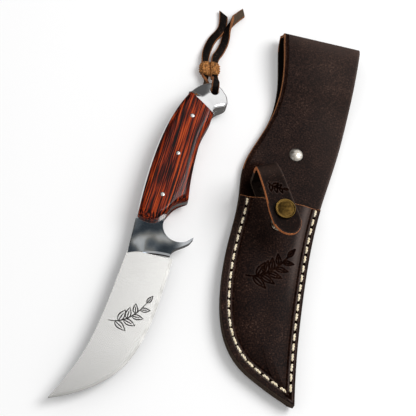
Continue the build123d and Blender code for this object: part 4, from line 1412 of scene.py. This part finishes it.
def strap_sheet(name, path, width_at, ends, node, relief,
                lean=((0, 0.0),), tan_between=None, dark_right=None):
    """One part of the strap.  lean: how far its middle is shifted sideways along the way."""
    reach, line = path
    along = stations(reach[-1], 0.5, ends)
    half = np.array([width_at(s, reach[-1]) for s in along]) / 2
    shift = between(lean, along / reach[-1])[:, 0]
    sheet = leather_sheet(name, strap, along, at_stations(reach, line, along),
                          np.column_stack([shift - half, shift + half]), STRAP_LEATHER, 44,
                          [strap_leather, dark_edge, suede_in_painted_shade, strap_edge], relief, ends, -1,
                          tan_between, raw_rim=0.4, dark_right=dark_right)
    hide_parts(*node)
    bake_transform(sheet)

# %% Widths and relief of the strap


def foot_width(s, total):
    """The foot is as wide as the strip all along."""
    return STRAP_WIDTH


def leg_width(s, total):
    """The strip widens towards the snap by a third, and ends in a tip like half an oval."""
    start = total - leg_length
    shoulder = total - TIP_OVAL
    if s > shoulder:
        return STRAP_HEAD * math.sqrt(max(0.0001, 1 - ((s - shoulder) / TIP_OVAL) ** 2))
    swell = 1.3 * math.exp(-((s - start - 6) / 9) ** 2)
    return (STRAP_WIDTH + swell
            + (STRAP_HEAD - STRAP_WIDTH) * float(smooth_step(start, shoulder, s)))


strap_sprig = sprig(((-4.6, -14.4), (-1.6, -19.0), (3.4, -20.6)), 5, 4.4, 2.3, 55, False)


def leg_relief(x, s, side):
    """A small stamped sprig, and the dent that the cap's post pulls into the leather.  Painted
    highlights pale the lips round the stamping and the crest; the edges are paler too.
    """
    y = SNAP_LINE - s
    stamped = nearness(x, y, strap_sprig, 0.34) * (s > CREST_REACH)
    dish = np.exp(-(np.hypot(x, y + SNAP_AWAY) / 7.5) ** 4)
    # Painted highlight along the lip round the stamped lines.
    painted_lip_highlight = nearness(x, y, strap_sprig, 0.62) * (s > CREST_REACH) * (1 - stamped)
    # Painted highlight over the crest.
    painted_crest_highlight = np.exp(-((s - CREST_REACH - 2) / 5) ** 2)
    rim = np.exp(-(side / 0.9) ** 2)
    return (soft_waves(x, y, 0.04, 5) - DISH_DEPTH * dish, -STAMPED_DEPTH * stamped,
            0.6 * stamped - 0.3 * painted_lip_highlight - 0.05 * painted_crest_highlight - 0.1 * rim)


def foot_in_painted_shade(x, s, side):
    """The foot is darkened all over: painted shade, standing for the strap's shadow on it."""
    return np.zeros(len(x)), np.zeros(len(x)), np.full(len(x), 0.85)

# %% The strap's two sheets
FOOT_MIDDLE = STRAP_LEATHER / 2
foot_path = side_path([(FOOT_END, FOOT_MIDDLE), (-FOOT_BEND, FOOT_MIDDLE)],
                      (-FOOT_BEND, FOOT_MIDDLE + FOOT_BEND, FOOT_BEND, -90, 0), [(0, SPLIT)])
strap_sheet("strap_foot_sheet", foot_path, foot_width, (True, False),
            ("strap_foot", "strap_riser"),
            foot_in_painted_shade)
ARCH = ((0, 16), (0, 21.5), (-1.5, 25.0), (-6, 27.1), (-13, 27.9), (-21, 28.0),
        (-33.4, 27.5), (-42, 27.1), (-TIP_AWAY, 26.8))
leg_path = side_path([(0, SPLIT)], bent_line(ARCH))
CREST_REACH = leg_path[0][-1] - leg_length
SNAP_LINE = CREST_REACH + bend_end[0]
strap_sheet("strap_leg_sheet", leg_path, leg_width, (False, True), ("strap_leg",),
            leg_relief,
            tan_between=(6, math.inf), dark_right=leg_path[0][-1] - 9,
            lean=((0, 0.0), (0.2, -0.5), (0.45, -0.7), (0.72, -1.2), (0.86, -0.9), (1, 0.0)))

# %% [markdown]
# ## Snap and rivets
#
# The snap's cap is brass, plated and then rubbed so that its raised rim is bright and its sunk
# middle stays dark.  The stud, the socket and the loop's rivet are nickel; the rivet in the
# strap's foot is given a near-black plating, painted shade for the strap's shadow over it.  The
# cap is turned: a profile spun round the cap's own axis.

# %% Plated hardware


def antique_brass():
    """Antiqued brass: dark in the hollow, worn bright on the rim."""
    material, tree, shader, place = new_material("antiqued_brass", Metallic=1.0)
    blotch = add(tree, "ShaderNodeTexNoise",
                 {"Vector": place, "Scale": 1 / (1.6 * MM), "Detail": 5.0})
    worn = add(tree, "ShaderNodeAttribute", attribute_name="darkening")
    hollow = add(tree, "ShaderNodeValToRGB", {0: blotch.outputs[0]},
                 stops=[(0.36, "#281D0B"), (0.64, "#483719")])
    tint = add(tree, "ShaderNodeMix", {"Factor": worn.outputs["Fac"], 6: linear("#A58345"),
                                       7: hollow.outputs[0]}, data_type="RGBA")
    tree.links.new(tint.outputs[2], shader.inputs["Base Color"])
    gloss = add(tree, "ShaderNodeMapRange",
                {"Value": blotch.outputs[0], "To Min": 0.28, "To Max": 0.46})
    tree.links.new(gloss.outputs[0], shader.inputs["Roughness"])
    bump = add(tree, "ShaderNodeBump",
               {"Height": blotch.outputs[0], "Distance": 0.03 * MM, "Strength": 0.5})
    tree.links.new(bump.outputs[0], shader.inputs["Normal"])
    return material


def nickel_plate(name, dark, bright, roughness):
    """Nickel plating, a little tarnished and scuffed."""
    return clouded_metal(name, dark, bright, roughness, 1.8, 5.0, 0.62, (0.8, 1.4))


snap_brass = antique_brass()
rivet_nickel = nickel_plate("nickel_plated_rivet", "#A89F93", "#D9D4CB", 0.34)
# Painted shade: this rivet sits in the strap's shadow, so it is given a near-black plating.
foot_rivet_in_painted_shade = nickel_plate("blackened_foot_rivet", "#17120E", "#2C251F", 0.5)
stud_nickel = nickel_plate("tarnished_stud", "#8A775C", "#D9CDB8", 0.22)

# %% Turned cap


def turned(name, profile, place, material, turns=96):
    """A closed piece spun from (radius, height, pressed) points, from its top to its foot."""
    points, marks = [], []
    for radius, height, mark in profile[1:-1]:
        for i in range(turns):
            angle = 2 * math.pi * i / turns
            points.append((radius * math.cos(angle), radius * math.sin(angle), height))
            marks.append(mark)
    top, foot = len(points), len(points) + 1
    points += [(0, 0, profile[0][1]), (0, 0, profile[-1][1])]
    marks += [profile[0][2], profile[-1][2]]
    faces = [face for face in ring_faces(len(profile) - 2, turns) if len(face) == 4]
    last = (len(profile) - 3) * turns
    for i in range(turns):
        k = (i + 1) % turns
        faces += [(i, k, top), (last + k, last + i, foot)]
    made = outwards(piece_of(name, in_frame(points, place), faces, [material], sharp=50))
    mark_darkening(made, marks)
    print(name, "faces", len(made.data.polygons))
    return made

# %% Snap and rivets
CAP_TILT = 2.0                  # the leg falls a little towards its tip
SNAP_ON_LEG = (SNAP_AWAY + bend_end[0]) / math.cos(math.radians(LEG_RISE))
cap_spot = bend_end + leg_way * SNAP_ON_LEG
cap_place = (strap @ Matrix.Translation((0, *cap_spot))
             @ Matrix.Rotation(math.radians(CAP_TILT), 4, "X")
             @ Matrix.Translation((0, 0, STRAP_LEATHER / 2)))
cap = turned("snap_cap_turned",
             [(0, 1.62, 1), (1.5, 1.60, 1), (3.0, 1.52, 1), (4.4, 1.40, 1), (5.2, 1.30, 0.9),
              (5.45, 1.34, 0.6), (5.6, 1.58, 0.2), (5.74, 1.78, 0), (5.9, 1.86, 0),
              (6.08, 1.76, 0), (6.20, 1.48, 0.1), (6.24, 1.05, 0.4), (6.2, 0.5, 0.8),
              (6.05, 0.08, 1), (5.9, -0.1, 1), (0, -0.1, 1)], cap_place, snap_brass)
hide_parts("snap_cap")
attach(cap, "strap_leg")
for node, body, material in (
        ("snap_socket", "strap_leg", stud_nickel), ("snap_stud", "sheath", stud_nickel),
        ("stud_eyelet", "sheath", stud_nickel), ("loop_rivet_cap", "sheath", rivet_nickel),
        ("loop_rivet_post", "sheath", rivet_nickel),
        ("strap_foot_rivet", "sheath", foot_rivet_in_painted_shade)):
    dressed(node, body, [material], 35)

# %% Handle pins
PIN_PROUD = 0.14                # how far a pin's dome stands above the wood


def filed_pin(number):
    """A pin through both scales, filed to a low dome in front and flat where it lies on the
    table."""
    node = f"handle_pin_{number}"
    spot = knife_inverse @ middle(node)
    rise = CROWN_RADIUS - math.sqrt(CROWN_RADIUS ** 2 - (spot.x - CROWN_AXIS) ** 2)
    top = HANDLE_HALF - rise + PIN_PROUD
    end = [(0, top, 0), (0.5, top - 0.02, 0), (0.95, top - 0.09, 0), (1.25, top - 0.20, 0),
           (1.42, top - 0.36, 0), (1.45, top - 0.6, 0)]
    behind = [(r, max(-z, -HANDLE_HALF), mark) for r, z, mark in reversed(end)]
    pin = turned(node + "_filed", end + behind,
                 knife @ Matrix.Translation((spot.x, spot.y, 0)), pin_steel, 48)
    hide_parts(node)
    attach(pin, "knife")


for number in (1, 2, 3):
    filed_pin(number)

# %% [markdown]
# ## The etched sprig
#
# The decoration on the blade is etched: matt grey lines under a millimetre wide.  Each line is a
# thin closed ribbon laid on the ground face of the blade, found by looking straight down.

# %% Etching
ETCHED_WIDTH, ETCHED_UP, ETCHED_DOWN = 0.75, 0.025, 0.05


def etched_grey():
    """Steel eaten matt by acid: grey-brown, without gloss."""
    material, tree, shader, place = new_material("acid_etched_steel", Roughness=0.75, Metallic=0.3)
    grit = add(tree, "ShaderNodeTexNoise",
               {"Vector": place, "Scale": 1 / (0.4 * MM), "Detail": 3.0})
    tint = add(tree, "ShaderNodeValToRGB", {0: grit.outputs[0]},
               stops=[(0.35, "#0E0B0A"), (0.65, "#2C2723")])
    tree.links.new(tint.outputs[0], shader.inputs["Base Color"])
    return material


def etched_lines(name, lines):
    """Ribbons along flat lines, laid on the blade's upper face and thinner towards their ends."""
    bpy.context.view_layer.update()
    skin = BVHTree.FromObject(blade, bpy.context.evaluated_depsgraph_get())

    def height(x, y):
        """Height of the blade's upper face at a flat spot."""
        above = knife @ Vector((x, y, 30))
        hit = skin.ray_cast(above, Vector((0, 0, -1)))[0]
        return (knife_inverse @ hit).z

    points, faces = [], []
    for line in lines:
        way = unit_rows(np.gradient(line, axis=0))
        taper = 0.35 + 0.65 * np.sin(np.linspace(0.25, math.pi - 0.25, len(line)))
        first = len(points)
        for (x, y), (dx, dy), share in zip(line, way, taper):
            half = ETCHED_WIDTH / 2 * share
            left, right = (x - dy * half, y + dx * half), (x + dy * half, y - dx * half)
            top_left, top_right = height(*left), height(*right)
            points += [(*left, top_left + ETCHED_UP), (*right, top_right + ETCHED_UP),
                       (*right, top_right - ETCHED_DOWN), (*left, top_left - ETCHED_DOWN)]
        faces += [tuple(first + i for i in face) for face in ring_faces(len(line), 4)]
    etching = outwards(piece_of(name, in_frame(points, knife), faces, [etched_grey()]))
    print(name, "lines", len(lines), "faces", len(etching.data.polygons))
    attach(etching, "knife")


blade_sprig = sprig(((-9.5, -49.0), (2.5, -47.5), (8.5, -30.5)), 7, 8.6, 4.2, 48)
etched_lines("etched_sprig", blade_sprig)

# %% [markdown]
# ## Table, light and room
#
# The set lies on a plain white table.  A large soft lamp from the right gives the shadows on the
# left; the room's even light fills them.  Polished steel shows the room, so a grey card stands
# where the polished ricasso looks, seen only by reflections.

# %% Table


def white_table():
    """Matt white that looks white to the eye, and pale grey to what it is reflected in."""
    material = bpy.data.materials.new("matt_white_table")
    tree = bare_tree(material)
    path = add(tree, "ShaderNodeLightPath").outputs
    tone = add(tree, "ShaderNodeMix", {"Factor": path["Is Glossy Ray"], 6: linear("#F2F2F2"),
                                       7: linear("#6A6866")}, data_type="RGBA")
    matt = add(tree, "ShaderNodeBsdfDiffuse", {"Color": tone.outputs[2]})
    glow = add(tree, "ShaderNodeEmission", {"Color": (1, 1, 1, 1)})
    seen = add(tree, "ShaderNodeMath",
               {0: path["Is Camera Ray"], 1: path["Is Transmission Ray"]}, operation="MAXIMUM")
    share = add(tree, "ShaderNodeMath", {0: seen.outputs[0], 1: 0.08}, operation="MULTIPLY")
    tree.links.new(share.outputs[0], glow.inputs["Strength"])
    both = add(tree, "ShaderNodeAddShader", {0: matt.outputs[0], 1: glow.outputs[0]})
    add(tree, "ShaderNodeOutputMaterial", {"Surface": both.outputs[0]})
    return material

# %% Lamp and grey card


def soft_lamp(name, spot, size, power):
    """A round lamp that looks at the middle of the table."""
    lamp = bpy.data.lights.new(name, "AREA")
    lamp.shape, lamp.size, lamp.energy = "DISK", size, power
    placed_object(name, lamp).matrix_world = (
        Matrix.Translation(spot) @ Vector(spot).to_track_quat("Z", "Y").to_matrix().to_4x4())


def grey_card(spot, size):
    """A dark to light grey card, a metre from the ricasso and seen only in its reflection."""
    camera_spot = LOOK_AT + TOWARDS_CAMERA * CAMERA_DISTANCE
    way = spot - camera_spot
    way.z = -way.z
    way.normalize()
    middle_of_card = spot + way
    turn = way.to_track_quat("Z", "Y").to_matrix()
    square = [middle_of_card + turn @ Vector((x * size, y * size, 0))
              for x, y in ((-1, -1), (1, -1), (1, 1), (-1, 1))]
    material = bpy.data.materials.new("grey_card")
    tree = bare_tree(material)
    place = add(tree, "ShaderNodeTexCoord").outputs["Object"]
    cloud = add(tree, "ShaderNodeTexNoise",
                {"Vector": place, "Scale": 1 / 0.03, "Detail": 2.5, "Distortion": 0.6})
    tone = add(tree, "ShaderNodeValToRGB", {0: cloud.outputs[0]},
               stops=[(0.40, "#3C4349"), (0.48, "#666D72"), (0.54, "#8A867D"), (0.62, "#DADAD8")])
    glow = add(tree, "ShaderNodeEmission", {"Color": tone.outputs[0], "Strength": 1.0})
    nothing = add(tree, "ShaderNodeBsdfTransparent")
    away = add(tree, "ShaderNodeVectorMath", {0: place, 1: tuple(middle_of_card)},
               operation="DISTANCE")
    inside = add(tree, "ShaderNodeMapRange",
                 {"Value": away.outputs["Value"], "From Min": 0.8 * size, "From Max": 1.1 * size,
                  "To Min": 1.0, "To Max": 0.0}, interpolation_type="SMOOTHSTEP")
    both = add(tree, "ShaderNodeMixShader", {0: inside.outputs[0], 1: nothing.outputs[0],
                                             2: glow.outputs[0]})
    add(tree, "ShaderNodeOutputMaterial", {"Surface": both.outputs[0]})
    card = piece_of("grey_card", square, [(0, 1, 2, 3)], [material])
    card.visible_camera = card.visible_diffuse = card.visible_shadow = False
    card.visible_transmission = card.visible_volume_scatter = False

# %% Light of the room


def room_light(strength):
    """Even light for the set.  What reflections show is brighter towards the far side of the
    table, and falls to a dark wall at the far left."""
    world = bpy.data.worlds.new("room")
    bpy.context.scene.world = world
    tree = bare_tree(world)
    path = add(tree, "ShaderNodeLightPath").outputs
    way = add(tree, "ShaderNodeSeparateXYZ",
              {0: add(tree, "ShaderNodeTexCoord").outputs["Generated"]})
    aside = add(tree, "ShaderNodeMath", {0: way.outputs[1], 1: -0.7, 2: way.outputs[0]},
                operation="MULTIPLY_ADD")
    wall = add(tree, "ShaderNodeMapRange",
               {"Value": aside.outputs[0], "From Min": -0.74, "From Max": -0.42, "To Min": 0.10,
                "To Max": 1.0}, interpolation_type="SMOOTHSTEP")
    far_side = add(tree, "ShaderNodeMapRange",
                   {"Value": way.outputs[1], "From Min": 0.12, "From Max": 0.66, "To Min": 0.56,
                    "To Max": 1.12}, interpolation_type="SMOOTHSTEP")
    room = add(tree, "ShaderNodeMath", {0: wall.outputs[0], 1: far_side.outputs[0]},
               operation="MULTIPLY")
    shown = add(tree, "ShaderNodeMix", {"Factor": path["Is Glossy Ray"], 2: strength,
                                        3: room.outputs[0]})
    level = add(tree, "ShaderNodeMix", {"Factor": path["Is Camera Ray"], 2: shown.outputs[0],
                                        3: 0.98})
    sky = add(tree, "ShaderNodeBackground", {"Color": (1, 1, 1, 1), "Strength": level.outputs[0]})
    add(tree, "ShaderNodeOutputWorld", {"Surface": sky.outputs[0]})

# %% The stage
bpy.context.scene.view_settings.view_transform = "Standard"
table = piece_of("table", [(-3, -3, 0), (3, -3, 0), (3, 3, 0), (-3, 3, 0)], [(0, 1, 2, 3)],
                 [white_table()])
soft_lamp("key_from_the_right", (0.80, 0.25, 1.15), size=0.9, power=13.5)
RICASSO_SPOT = (-2.5, 9, HALF_STEEL)
grey_card(knife @ Vector(RICASSO_SPOT), size=0.041)
room_light(strength=0.58)
print("stage set")
